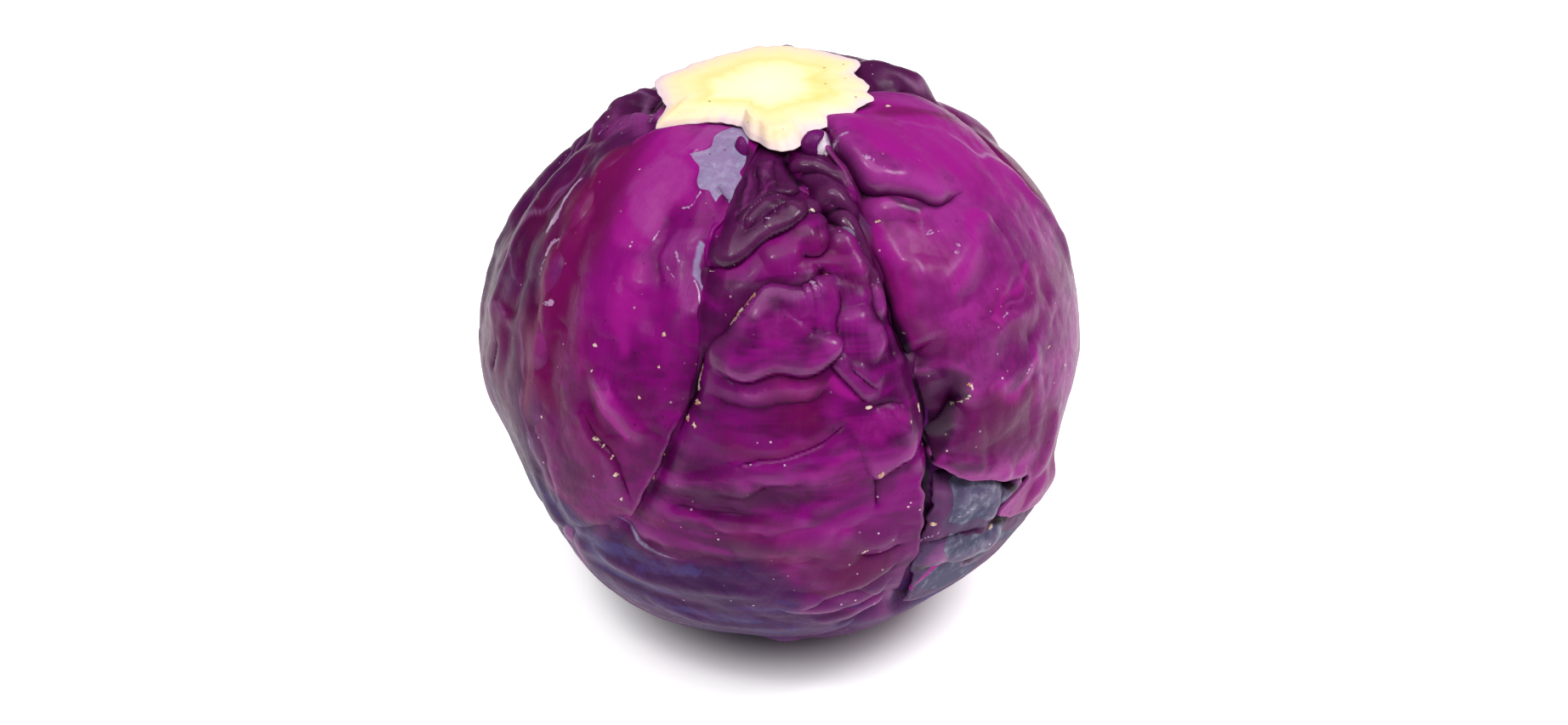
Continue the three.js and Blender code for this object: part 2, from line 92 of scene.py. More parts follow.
class Wire:
    """A value running through a material, with the arithmetic that the materials need."""

    tree = None

    def __init__(self, socket):
        self.socket = socket

    @classmethod
    def node(cls, kind, settings=None, inputs=None, output=0):
        made = cls.tree.nodes.new(kind)
        settings = dict(settings or {})
        stops = settings.pop("stops", None)
        for name, value in settings.items():
            setattr(made, name, value)
        if stops:
            ramp = made.color_ramp
            while len(ramp.elements) < len(stops):
                ramp.elements.new(0.5)
            for element, (place, colour) in zip(ramp.elements, stops):
                element.position = place
                element.color = colour
        for name, value in (inputs or {}).items():
            socket = made.inputs[name]
            if isinstance(value, Wire):
                cls.tree.links.new(value.socket, socket)
            else:
                socket.default_value = value
        return cls(made.outputs[output])

    def maths(self, operation, first, second=0.0, clamp=False):
        settings = {"operation": operation, "use_clamp": clamp}
        return Wire.node("ShaderNodeMath", settings, {0: first, 1: second})

    def __add__(self, other):
        return self.maths("ADD", self, other)

    def __radd__(self, other):
        return self.maths("ADD", other, self)

    def __sub__(self, other):
        return self.maths("SUBTRACT", self, other)

    def __rsub__(self, other):
        return self.maths("SUBTRACT", other, self)

    def __mul__(self, other):
        return self.maths("MULTIPLY", self, other)

    def __rmul__(self, other):
        return self.maths("MULTIPLY", other, self)

    def limited(self):
        return self.maths("ADD", self, 0.0, clamp=True)

    def between(self, low, high):
        """Rises smoothly from 0 at low to 1 at high."""
        return Wire.node(
            "ShaderNodeMapRange", {"interpolation_type": "SMOOTHSTEP"},
            {"Value": self, "From Min": low, "From Max": high})


def paint(red, green, blue, light=1.0):
    """The pigment that looks like a screen colour, 0 to 255, when this much light falls on it."""
    linear = [((value / 255 + 0.055) / 1.055) ** 2.4 if value > 10 else value / 255 / 12.92
              for value in (red, green, blue)]
    return (*(part / light for part in linear), 1.0)


def mixed(base, other, share):
    return Wire.node("ShaderNodeMix", {"data_type": "RGBA"}, {0: share, 6: base, 7: other}, output=2)


def new_material(name):
    material = bpy.data.materials.new(name)
    material.use_nodes = True
    Wire.tree = material.node_tree
    for node in list(Wire.tree.nodes):
        if node.type == "BSDF_PRINCIPLED":
            shader = node
    return material, shader


def set_sockets(shader, values):
    for name, value in values.items():
        if isinstance(value, Wire):
            Wire.tree.links.new(value.socket, shader.inputs[name])
        else:
            shader.inputs[name].default_value = value


def here():
    return Wire.node("ShaderNodeTexCoord", output="Object")


def noise(scale, detail=3.0, roughness=0.55, where=None, **more):
    return Wire.node("ShaderNodeTexNoise", None, {
        "Vector": where or here(), "Scale": scale, "Detail": detail, "Roughness": roughness, **more})


floor_reach = 3.0
bpy.ops.mesh.primitive_plane_add(size=2 * floor_reach, location=(0.0, 0.0, 0.0))
floor = bpy.context.object
floor.name = "white_floor"
bpy.ops.object.transform_apply(location=True, rotation=True, scale=True)
floor_material, shader = new_material("white_card")
# The floor glows more the further it lies from the head: painted light that keeps the head's shadow small
flat_place = Wire.node("ShaderNodeVectorMath", {"operation": "LENGTH"}, {0: here()}, output=1)
glow = flat_place.between(0.030, 0.057)
set_sockets(shader, {
    "Base Color": mixed(paint(250, 250, 250), paint(254, 254, 254), noise(3.0)),
    "Roughness": 0.8,
    "Specular IOR Level": 0.1,
    "Emission Color": mixed((0.0, 0.0, 0.0, 1.0), (1.0, 1.0, 1.0, 1.0), glow),
    "Emission Strength": 0.56,
})
floor.data.materials.append(floor_material)


# The heart
# The tight inner head, dozens of thin leaves pressed into one dense body round the core.
# Only slits of it show between the outer leaves, so the solid stays and gets its skin.

def heading(places):
    """Unit directions of places on the head, given as degrees round from the front and down."""
    turn, fall = np.radians(np.asarray(places, dtype=float)).reshape(-1, 2).T
    return np.stack((np.sin(fall) * np.sin(turn), -np.sin(fall) * np.cos(turn), np.cos(fall)), axis=1)


leaf_light = 1.7


def leaf_paint(red, green, blue):
    return paint(red, green, blue, leaf_light)


# Screen colours of the marks that a leaf can carry and of the skin's own variation; some are painted
# light: shade in hollows, creases and slits, highlights on crests, sheen and glints
tones = {
    "blotch": (124, 8, 78),
    "rosy_and_highlight": (178, 24, 152),
    "ruddy": (126, 12, 86),
    "shade_and_dark_tone": (84, 20, 76),
    "sheen": (186, 78, 170),
    "ink": (58, 16, 78),
    "blue_haze": (74, 62, 136),
    "crest_highlight": (196, 66, 178),
    "dusky_crest_highlight": (120, 54, 108),
    "pale_sheen_haze": (186, 80, 172),
    "crease_shade": (58, 2, 50),
    "pale_dot": (255, 226, 246),
    "dark_dot": (50, 8, 44),
    "shine": (222, 180, 226),
    "pale_crumb": (252, 232, 214),
    "brown_crumb": (216, 150, 110),
    "edge": (206, 150, 200),
    "slit_shadow": (30, 4, 30),
}
tones = {name: leaf_paint(*colour) for name, colour in tones.items()}


def dots(scale, where):
    """Distance to the nearest of many scattered dots."""
    return Wire.node("ShaderNodeTexVoronoi", None, {"Vector": where, "Scale": scale, "Randomness": 1.0})


def leaf_skin(name, light, middle, deep, vein_and_highlight_colour, streak=0.3, gloss=0.36, banding=0.25,
              bloom_colour=(172, 161, 204), wax_light=(204, 200, 230)):
    """Waxy leaf: pigment in clouds and streaks, pale ribs, wax bloom and dry crumbs, with painted shade in
    its hollows, creases and slits and painted highlights, sheen and glints on its crests.
    """
    material, shader = new_material(name)
    point = here()
    along = Wire.node("ShaderNodeUVMap", {"uv_map": "UVMap"})
    stretched = Wire.node("ShaderNodeMapping", None, {"Vector": along, "Scale": (80.0, 5.0, 1.0)})
    clouds = noise(45.0, 4.0, 0.6, point)
    broad = noise(16.0, 2.0, 0.5, point)
    streaks = noise(1.0, 4.0, 0.65, stretched)
    fine = noise(430.0, 3.0, 0.6, point)
    grain = noise(1500.0, 2.0, 0.5, point)
    level = Wire.node("ShaderNodeMapping", None, {"Vector": point, "Scale": (30.0, 30.0, 170.0)})
    bands = noise(1.0, 3.0, 0.6, level, Distortion=0.6)

    def tint(attribute):
        return Wire.node("ShaderNodeAttribute", {"attribute_name": attribute}, output="Fac")

    hollow = tint("hollow")
    rough_edge = (fine - 0.5) * 0.6 + (clouds - 0.5) * 0.7
    # The tone is painted a little darker in hollows and lighter on crests, as shade and light fall there
    tone = 0.4 * clouds + 0.6 * broad + streak * (streaks - 0.5) * 0.5 - 0.14 * hollow
    tone = (tone + banding * (bands - 0.5)).between(0.36, 0.64)
    colour = mixed(leaf_paint(*middle), leaf_paint(*light), tone)
    shade = (1.0 - broad) * 0.5 + (1.0 - clouds) * 0.5 + (fine - 0.5) * 0.3 - banding * 0.7 * (bands - 0.5)
    colour = mixed(colour, leaf_paint(*deep), shade.between(0.44, 0.66) * 0.8)
    colour = mixed(colour, tones["blotch"], noise(27.0, 4.0, 0.6, point).between(0.5, 0.66) * 0.45)
    # Rosy patches of the leaf's own colour, and rosy stripes painted as highlights along lit ridges and
    # edges
    colour = mixed(colour, tones["rosy_and_highlight"], (tint("rosy_and_highlight") + rough_edge * 0.5).between(0.15, 0.9))
    colour = mixed(colour, tones["ruddy"], (tint("ruddy") + rough_edge * 0.4).between(0.1, 1.0))
    # Painted shade in grooves, recesses and under lapping edges, and darker purple patches of the leaf
    # itself
    colour = mixed(colour, tones["shade_and_dark_tone"], (tint("shade_and_dark_tone") + rough_edge * 0.5).between(0.15, 1.0))
    # Painted sheen: soft pale highlights where light falls across the leaf
    sheen = (tint("sheen") + rough_edge * 0.6 + (streaks - 0.5) * 0.4).between(0.2, 1.0)
    colour = mixed(colour, tones["sheen"], sheen * 0.75)
    blue_cover = (tint("ink") + rough_edge * 0.5 + (bands - 0.5) * 0.9).between(0.1, 1.0)
    colour = mixed(colour, tones["ink"], (blue_cover * (0.6 + 0.6 * (1.0 - clouds))).limited())
    blue_haze = tint("ink") + (bands - 0.5) * 2.4 + (fine - 0.5) * 1.0 + (streaks - 0.5) * 0.6
    colour = mixed(colour, tones["blue_haze"], blue_haze.between(0.8, 1.4) * 0.6)
    # Painted highlight: crests and ridges are lightened where light catches them, greyer on the dark
    # patches
    crest_highlight = (0.0 - hollow).between(0.1, 1.0)
    crest_highlight_tone = mixed(tones["crest_highlight"], tones["dusky_crest_highlight"], tint("shade_and_dark_tone").between(0.1, 0.7))
    colour = mixed(colour, crest_highlight_tone, crest_highlight * (0.16 + 0.5 * fine).limited())
    # Pale ribs and the cut faces of the leaf bases, and a few painted highlight lines
    colour = mixed(colour, leaf_paint(*vein_and_highlight_colour), tint("vein_and_highlight") * (0.3 + 0.8 * fine).limited())
    wax = (tint("bloom") + rough_edge * 0.24).between(0.4, 0.56)
    wax_cloud = (fine * 0.6 + clouds * 0.4).between(0.46, 0.72)
    wax_tone = mixed(leaf_paint(*bloom_colour), leaf_paint(*wax_light), wax_cloud)
    colour = mixed(colour, wax_tone, wax * (0.72 + 0.4 * fine - 0.3 * streaks).limited())
    # Painted sheen: a pale haze on the raised parts, fading out in the hollows
    sheen_haze = (0.5 * fine + 0.5 * streaks).between(0.45, 0.75) * (0.25 - 0.3 * hollow).limited()
    colour = mixed(colour, tones["pale_sheen_haze"], sheen_haze * 0.2)
    # Painted shade: the colour darkens in the hollows and along the creases, where shade falls
    hollow_shade = hollow.between(0.1, 1.0) * 0.9 + tint("crease_shade") * 0.8
    colour = mixed(colour, tones["crease_shade"], hollow_shade.limited())
    dotted = noise(90.0, 2.0, 0.5, point).between(0.52, 0.66)
    pale_dot = (1.0 - dots(300.0, point).between(0.05, 0.11)) * dotted
    colour = mixed(colour, tones["pale_dot"], pale_dot * 0.85)
    # Painted glints: small bright highlights
    shine = (tint("shine") + (noise(340.0, 4.0, 0.7, point) - 0.5) * 2.4).between(0.62, 0.85)
    shine = shine * tint("shine").between(0.05, 0.3)
    colour = mixed(colour, tones["shine"], shine * 0.75)
    flecked = (tint("fleck") + (noise(620.0, 3.0, 0.7, point) - 0.5) * 2.6).between(0.72, 0.86)
    crumb_cloud = noise(800.0, 2.0, 0.5, point).between(0.45, 0.6)
    crumb = mixed(tones["pale_crumb"], tones["brown_crumb"], crumb_cloud)
    colour = mixed(colour, crumb, flecked * tint("fleck").between(0.08, 0.35))
    colour = mixed(colour, tones["edge"], tint("edge") * (fine - 0.3) * 0.7)
    # Painted shadow: near black in the slits and gaps between leaves, where no light reaches
    colour = mixed(colour, tones["slit_shadow"], tint("slit_shadow").between(0.15, 0.8))
    dark_dot = (1.0 - dots(200.0, point).between(0.03, 0.09)) * (1.0 - dotted)
    colour = mixed(colour, tones["dark_dot"], dark_dot * 0.6)

    height = fine * 0.45 + grain * 0.12 + streaks * 0.12 + pale_dot * 0.35 + flecked * 0.6 + wax * 0.2
    grained = Wire.node("ShaderNodeBump", None, {"Strength": 0.45, "Distance": 0.0006, "Height": height})
    roughness = gloss + 0.3 * (fine - 0.5) + 0.25 * wax + 0.2 * (clouds - 0.5) - 0.1 * shine
    coat = 0.06 + 0.5 * crest_highlight * fine + 0.5 * shine - 0.1 * hollow - 0.06 * tint("ink")
    set_sockets(shader, {
        "Base Color": colour,
        "Roughness": roughness.limited(),
        "Normal": grained,
        "Specular IOR Level": 0.06,
        "Coat Weight": coat.limited(),
        "Coat Roughness": 0.18,
    })
    return material


inner_skin = leaf_skin("inner_leaf_skin", (96, 14, 86), (72, 10, 66), (50, 8, 48), (150, 100, 150))
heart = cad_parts["heart"]
heart.data.materials.clear()
heart.data.materials.append(inner_skin)


# The back leaf
# The outer leaves lie on each other like tiles, each following what is under it. Every blade is one
# sheet about 1 mm thick, spread between its two edges and its midrib, grown from the stem.
leaf_thickness = 1.2
leaf_step = 2.1
hidden_sink = 4.0
shoulder_dip = 9.0
shoulder_spread = 17.0

# Over how many mm a leaf comes down beside a cover, sinks under it and loses its free edge
step_run = (0.5, 6.0)
sink_run = (1.0, 11.0)
free_run = (0.0, 6.0)
curl_width = 6
pressed_width = 7

# Where the head swells or falls in over its inner leaves: place, height in mm, reach in degrees
swells = [
    ((-70, 104), -4.8, 14), ((-92, 76), -0.2, 14), ((-114, 48), -4.2, 15), ((66, 107), 1.6, 10),
    ((60, 121), 0.3, 8), ((42, 133), -1.2, 9), ((96, 68), 1.2, 14), ((-8, 141), -1.4, 12),
    ((121, 42), -5.2, 10), ((-132, 37), -3.8, 11), ((-80, 94), 1.6, 10), ((76, 102), -3.6, 9),
    ((-62, 120), -1.6, 8), ((-42, 132), 0.8, 8), ((70, 30), 0.4, 20),
    ((10, 23), -3.0, 8), ((10, 37), 1.4, 6), ((-2, 57), 1.6, 9), ((29, 63), -3.2, 6),
    ((34, 73), -1.8, 5), ((50, 26), 1.0, 9), ((20, 75), 1.6, 6), ((-36, 60), 1.0, 12),
    ((0, 88), 0.8, 13), ((55, 60), 0.8, 14), ((150, 70), 1.2, 20), ((-150, 80), 1.2, 22),
    ((180, 105), -1.6, 18), ((118, 100), -1.8, 16),
]

# The blades, innermost first: waves along an edge, then lines of left edge, midrib and right edge
blades = {
    "back_leaf": (3.1, [
        [(150, 17), (180, 17), (-150, 18)], [(138, 50), (180, 49), (-138, 50)],
        [(138, 80), (180, 80), (-138, 80)], [(145, 110), (180, 113), (-145, 110)],
        [(164, 147), (180, 149), (-164, 147)]]),
    "back_left_leaf": (2.6, [
        [(-168, 18), (-140, 18), (-108, 20)], [(-177, 50), (-135, 49), (-92, 50)],
        [(-179, 80), (-135, 80), (-87, 80)], [(-170, 110), (-134, 113), (-80, 110)],
        [(-152, 150), (-130, 154), (-98, 150)]]),
    "back_right_leaf": (2.9, [
        [(92, 15), (125, 15), (158, 17)], [(76, 50), (122, 49), (172, 50)],
        [(74, 80), (122, 80), (174, 80)], [(73, 108), (124, 112), (166, 110)],
        [(100, 141), (126, 153), (150, 150)]]),
    "crown_leaf": (3.4, [
        [(-22, 20), (0, 20), (20, 20)], [(-44, 60), (-2, 58), (36, 60)],
        [(-66, 96), (0, 94), (62, 96)], [(-84, 120), (0, 128), (82, 120)],
        [(-102, 140), (0, 162), (102, 140)], [(-138, 152), (180, 164), (138, 152)],
        [(-164, 142), (180, 138), (164, 142)]]),
    "lower_right_leaf": (4.2, [
        [(44, 27), (50, 27), (56, 27)], [(40, 58), (54, 58), (68, 58)],
        [(31, 85), (51, 85), (72, 85)], [(27, 103), (47, 104), (70, 102)],
        [(28, 120), (42, 121), (54, 117)]]),
    "far_left_leaf": (3.7, [
        [(-118, 18), (-92, 16), (-64, 17)], [(-124, 42), (-92, 42), (-56, 40)],
        [(-118, 66), (-84, 66), (-46, 62)], [(-112, 88), (-78, 88), (-42, 84)],
        [(-98, 112), (-72, 110), (-40, 101)], [(-80, 124), (-66, 121), (-50, 114)]]),
    "front_leaf": (2.3, [
        [(-26, 13), (1, 13), (28, 13)], [(-28, 37), (1, 37), (31, 37)],
        [(-29, 58), (3, 58), (34, 58)], [(-32, 80), (2, 79), (28, 80)],
        [(-36, 88), (0, 87.5), (25.4, 89)], [(-42, 97), (-3, 97), (26.4, 98)],
        [(-52, 112), (-10, 113), (26, 109)],
        [(-48, 126), (-10, 128), (24, 122)], [(-30, 138), (-8, 140), (12, 136)]]),
    "left_leaf": (2.7, [
        [(-72, 15), (-46, 12.5), (-16, 14)], [(-69, 36), (-44, 36), (-18, 34)],
        [(-62, 51), (-41, 50), (-18.5, 48)], [(-54.5, 70), (-37, 67), (-18, 64)],
        [(-52, 88), (-38, 83), (-20, 76)], [(-50, 99), (-39, 97), (-27, 92)],
        [(-47, 107), (-40, 106), (-32, 101)]]),
    "right_leaf": (3.3, [
        [(30, 14), (62, 12), (101, 13)], [(27.5, 34), (60, 33), (103, 33)],
        [(27, 50), (58, 49), (89, 50)], [(28.5, 66), (59, 65), (91, 67)],
        [(28, 81), (57, 81), (88, 82)], [(33, 87), (57, 88), (84, 89)],
        [(44, 92.5), (61, 94), (80, 95)], [(53, 97), (63, 98.5), (76, 99.5)],
        [(46, 101.5), (61, 103), (72, 104)], [(50, 105.5), (60, 108), (67, 108.5)]]),
}
leaf_order = list(blades)

# Where the edge of a leaf has grown flat onto the one below it: place and reach in degrees
melted = {
    "left_leaf": [((-44, 99), 11), ((-36, 104), 8), ((-52, 90), 7), ((-71, 34), 8), ((-66, 46), 8),
                  ((-61, 58), 8), ((-56, 70), 8), ((-53, 81), 8)],
    "front_leaf": [((-50, 114), 16), ((-30, 136), 18), ((4, 140), 20), ((24, 126), 10)],
    "far_left_leaf": [((-66, 114), 15), ((-90, 118), 15), ((-48, 106), 12)],
}


def smooth_line(points, shares):
    """Places at shares 0 to 1 of a smooth line through unit directions."""
    before = 2 * points[0] - points[1]
    after = 2 * points[-1] - points[-2]
    ends = np.vstack((before, points, after))
    place = np.clip(shares, 0.0, 1.0) * (len(points) - 1)
    start = np.minimum(place.astype(int), len(points) - 2)
    part = (place - start)[:, None]
    a, b, c, d = ends[start], ends[start + 1], ends[start + 2], ends[start + 3]
    return 0.5 * (2 * b + (c - a) * part + (2 * a - 5 * b + 4 * c - d) * part ** 2
                  + (3 * b - a - 3 * c + d) * part ** 3)


def smooth(low, high, value):
    share = np.clip((value - low) / (high - low), 0.0, 1.0)
    return share * share * (3 - 2 * share)


edge_wave = 0.025


def spread(leaf, across, along):
    """Directions on a blade: across runs 0 to 1 between its edges, along from base to tip."""
    waves, lines = blades[leaf]
    left, rib, right = (smooth_line(heading([line[side] for line in lines]), along) for side in range(3))
    turn = np.pi * waves * along
    ripple = np.sin(2 * turn) + 0.5 * np.sin(5.4 * turn)
    flutter = 0.3 * np.sin(9.2 * turn) + 0.2 * np.sin(16.4 * turn + 1)
    stretch = (1 + edge_wave * (ripple + flutter))[:, None]
    left = rib + (left - rib) * stretch
    right = rib + (right - rib) * stretch
    across = across[:, None]
    places = left * (1 - across) * (1 - 2 * across) + rib * 4 * across * (1 - across)
    places = places + right * across * (2 * across - 1)
    return places / np.linalg.norm(places, axis=1)[:, None]


def flatten(directions, middle):
    """The head laid flat round a middle, with true distances from it, in mm."""
    sideways = np.cross((0.3, 0.2, 1.0), middle)
    sideways /= np.linalg.norm(sideways)
    upwards = np.cross(middle, sideways)
    flat = np.stack((directions @ sideways, directions @ upwards), axis=1)
    length = np.maximum(np.linalg.norm(flat, axis=1), 1e-9)
    angle = np.arccos(np.clip(directions @ middle, -1, 1))
    return flat * (angle / length * head_radius)[:, None]


def beyond(points, outline):
    """Distance in mm from flat points to a closed outline, negative inside it."""
    distance = np.full(len(points), 1e9)
    inside = np.zeros(len(points), dtype=bool)
    for start, end in zip(outline, np.roll(outline, -1, axis=0)):
        run = end - start
        share = np.clip((points - start) @ run / max(run @ run, 1e-12), 0, 1)
        distance = np.minimum(distance, np.linalg.norm(points - start - share[:, None] * run, axis=1))
        crosses = (start[1] > points[:, 1]) != (end[1] > points[:, 1])
        slope = run[0] / run[1] if run[1] else 0.0
        inside ^= crosses & (points[:, 0] < start[0] + slope * (points[:, 1] - start[1]))
    return np.where(inside, -distance, distance)


outlines = {}


def outside(directions, leaf):
    """Distance in mm to a blade's outline, negative on the blade."""
    if leaf not in outlines:
        step = np.linspace(0, 1, 60, endpoint=False)
        still = np.zeros_like(step)
        across = np.concatenate((step, still + 1, 1 - step, still))
        along = np.concatenate((still, step, still + 1, 1 - step))
        middle = spread(leaf, np.array([0.5]), np.array([0.5]))[0]
        outlines[leaf] = (middle, flatten(spread(leaf, across, along), middle))
    middle, outline = outlines[leaf]
    return beyond(flatten(directions, middle), outline)


def from_line(directions, route, samples=26):
    """Distance in mm from a line, positive on its left, the share of it reached and the way left."""
    line = smooth_line(heading(route), np.linspace(0, 1, samples))
    line /= np.linalg.norm(line, axis=1)[:, None]
    best = np.full(len(directions), 1e9)
    side = np.ones(len(directions))
    reached = np.zeros(len(directions))
    leftward = np.zeros_like(directions)
    for index in range(samples - 1):
        run = line[index + 1] - line[index]
        share = np.clip((directions - line[index]) @ run / (run @ run), 0, 1)
        apart = directions - line[index] - share[:, None] * run
        distance = np.linalg.norm(apart, axis=1)
        left = np.cross(line[index], run)
        left /= np.linalg.norm(left)
        closer = distance < best
        best = np.where(closer, distance, best)
        side = np.where(closer, np.sign(apart @ left), side)
        reached = np.where(closer, (index + share) / (samples - 1), reached)
        leftward[closer] = left
    return side * best * head_radius, reached, leftward


def crease(route, depth, width):
    return ("crease", route, depth, width, 0.0)


def ridge(route, height, width):
    return ("ridge", route, height, width, 0.0)


def valley(route, depth, width):
    return ("ridge", route, -depth, width, 0.0)


def bump(place, height, width):
    return ("bump", [place], height, width, 0.0)


def lip(route, height, width, over=0.8, reach=None):
    """The left side of the line laps over the right with a rounded edge and settles back in the reach."""
    return ("lip", route, height, (width, reach or 2.2 * width), over)


def wrinkles(place, height, reach):
    """A crumpled patch, the reach in degrees."""
    return ("crumple", [place], height, reach, 0.0)


def roll(route, height, width):
    """A bolster with round ends."""
    return ("roll", route, height, width, 0.0)


def fold_shape(form, away, height, width):
    distance = np.abs(away)
    if form == "crease":
        return -height * np.exp(-distance / width)
    if form in ("ridge", "bump"):
        return height * np.exp(-(away / width) ** 2)
    if form == "roll":
        body = np.clip(1 - (away / width) ** 2, 0, 1) ** 0.75
        return height * body - 0.35 * height * np.exp(-((distance - width) / (0.3 * width)) ** 2)
    width, reach = width
    rounding = 0.5 * width
    rise = np.sqrt(1 - (1 - np.clip(away / rounding, 0, 1)) ** 2)
    settle = np.exp(-(np.maximum(away - rounding, 0) / reach) ** 1.5)
    return height * (1.4 * rise * settle - 0.45 * np.exp(-distance / width))


def wobbled(directions, amount, seed=7):
    """The directions moved sideways in smooth waves, in mm, so that no line on a leaf runs straight."""
    chance = np.random.default_rng(seed)
    moved = np.zeros_like(directions)
    for wave in range(18):
        course = chance.normal(size=3)
        course *= 2 * np.pi * head_radius / chance.uniform(6, 20) / np.linalg.norm(course)
        moved += np.sin(directions @ course + chance.uniform(0, 6.3))[:, None] * chance.normal(size=3)
    moved = directions + moved * amount / math.sqrt(18) / head_radius
    return moved / np.linalg.norm(moved, axis=1)[:, None]


def crumple(directions):
    """Sharp-bottomed wrinkles, 0 in their creases and near 1 on their backs."""
    chance = np.random.default_rng(11)
    bent = wobbled(directions, 2.2, 5)
    backs = np.zeros(len(directions))
    for wave in range(6):
        course = chance.normal(size=3) * (1.0, 1.0, 1.6)
        course *= np.pi * head_radius / chance.uniform(7, 13) / np.linalg.norm(course)
        backs += np.abs(np.sin(bent @ course + chance.uniform(0, 6.3)))
    return backs / 6


def head_surface(directions, folds):
    """Radius of the head's outer surface, the sideways shift of its folds and how strongly shade is
    painted along its creases.
    """
    down = np.degrees(np.arccos(np.clip(directions[:, 2], -1, 1)))
    radius = head_radius - shoulder_dip * np.exp(-(down / shoulder_spread) ** 2)
    for place, height, reach in swells:
        away = np.degrees(np.arccos(np.clip(directions @ heading([place])[0], -1, 1))) / reach
        radius += height * np.exp(-away ** 2)
    shift = np.zeros_like(directions)
    crease_shade = np.zeros(len(directions))
    directions = wobbled(directions, 0.8)
    for form, route, height, width, over in folds:
        if form == "crumple":
            away = np.degrees(np.arccos(np.clip(directions @ heading(route)[0], -1, 1))) / width
            radius += height * np.exp(-away ** 4) * (crumple(directions) - 0.64)
            continue
        middle = heading(route).mean(axis=0)
        middle /= np.linalg.norm(middle)
        span = 2.5 * width[1] if form == "lip" else 4 * width
        reach = max(np.arccos(np.clip(heading(route) @ middle, -1, 1))) + span / head_radius
        near = directions @ middle > math.cos(min(reach, 3.1))
        if not near.any():
            continue
        if form == "bump":
            away = head_radius * np.arccos(np.clip(directions[near] @ middle, -1, 1))
            radius[near] += fold_shape(form, away, height, width)
            continue
        away, reached, leftward = from_line(directions[near], route)
        fade = 1.0 if form == "roll" else smooth(-0.02, 0.2, np.minimum(reached, 1 - reached))
        if form == "lip" and width[1] > 15:
            before_end, end = heading(route)[-2:]
            course = (end - before_end) / np.linalg.norm(end - before_end)
            fade = smooth(-1.0, 15.0, (end - directions[near]) @ course * head_radius)
        radius[near] += fade * fold_shape(form, away, height, width)
        if form == "lip":
            pull = over * fade * smooth(-0.3, 0.5, away) * np.exp(-(np.maximum(away, 0) / width[0]) ** 2)
            shift[near] -= leftward * pull[:, None]
        # Along lips and creases the skin gets painted shade, strongest where the fold is deepest
        if form in ("lip", "crease"):
            crease_shade[near] = np.maximum(crease_shade[near], fade * np.exp(-(away / 1.1) ** 2) * min(height / 2, 1))
    return radius, shift, crease_shade


def spots(tint, rows):
    """Round marks of one tint, each with its place, its reach in degrees and its strength."""
    return [("spot", tint, *row) for row in rows]


def stripes(tint, rows):
    """Long marks of one tint, each with its route, its width in mm and its strength."""
    return [("stripe", tint, *row) for row in rows]


def patches(tint, rows):
    """Areas of one tint, each with its corners, how many mm its edge fades over and its strength."""
    return [("patch", tint, *row) for row in rows]


def in_spot(directions, place, reach):
    away = np.degrees(np.arccos(np.clip(directions @ heading([place])[0], -1, 1))) / reach
    return np.exp(-away ** 2)


tint_names = ("rosy_and_highlight", "ruddy", "shade_and_dark_tone", "sheen", "ink", "bloom", "vein_and_highlight", "shine", "fleck", "slit_shadow")


def painted(directions, marks):
    """How strongly each tint covers each place."""
    cover = {name: np.zeros(len(directions)) for name in tint_names}
    gently = wobbled(directions, 0.8)
    ragged = wobbled(gently, 1.6, 3)
    for form, tint, where, reach, strength in marks:
        directions = gently if tint in ("fleck", "slit_shadow") else ragged
        if form == "spot":
            amount = in_spot(directions, where, reach)
        elif form == "stripe":
            away, reached, _ = from_line(directions, where)
            amount = smooth(-0.01, 0.15, np.minimum(reached, 1 - reached)) * np.exp(-(away / reach) ** 2)
        else:
            middle = heading(where).mean(axis=0)
            middle /= np.linalg.norm(middle)
            inside = -beyond(flatten(directions, middle), flatten(heading(where), middle))
            amount = smooth(-reach, reach, inside)
        cover[tint] = np.maximum(cover[tint], strength * amount)
    return cover


def blurred(grid, cells, rows):
    """The grid smoothed over some cells across and some rows along."""
    for axis, reach in ((1, cells), (0, rows)):
        taps = np.exp(-(np.arange(-2 * reach, 2 * reach + 1) / reach) ** 2)
        taps /= taps.sum()
        widths = [(0, 0), (0, 0)]
        widths[axis] = (2 * reach, 2 * reach)
        padded = np.pad(grid, widths, mode="edge")
        length = grid.shape[axis]
        grid = sum(tap * np.take(padded, range(k, k + length), axis=axis) for k, tap in enumerate(taps))
    return grid


# How wide a hollow is measured, and how deep it must be to get full painted shade
hollow_reach = 3.4
hollow_depth = 1.1
coarse_ripple = 0.014
fine_ripple = 0.0045


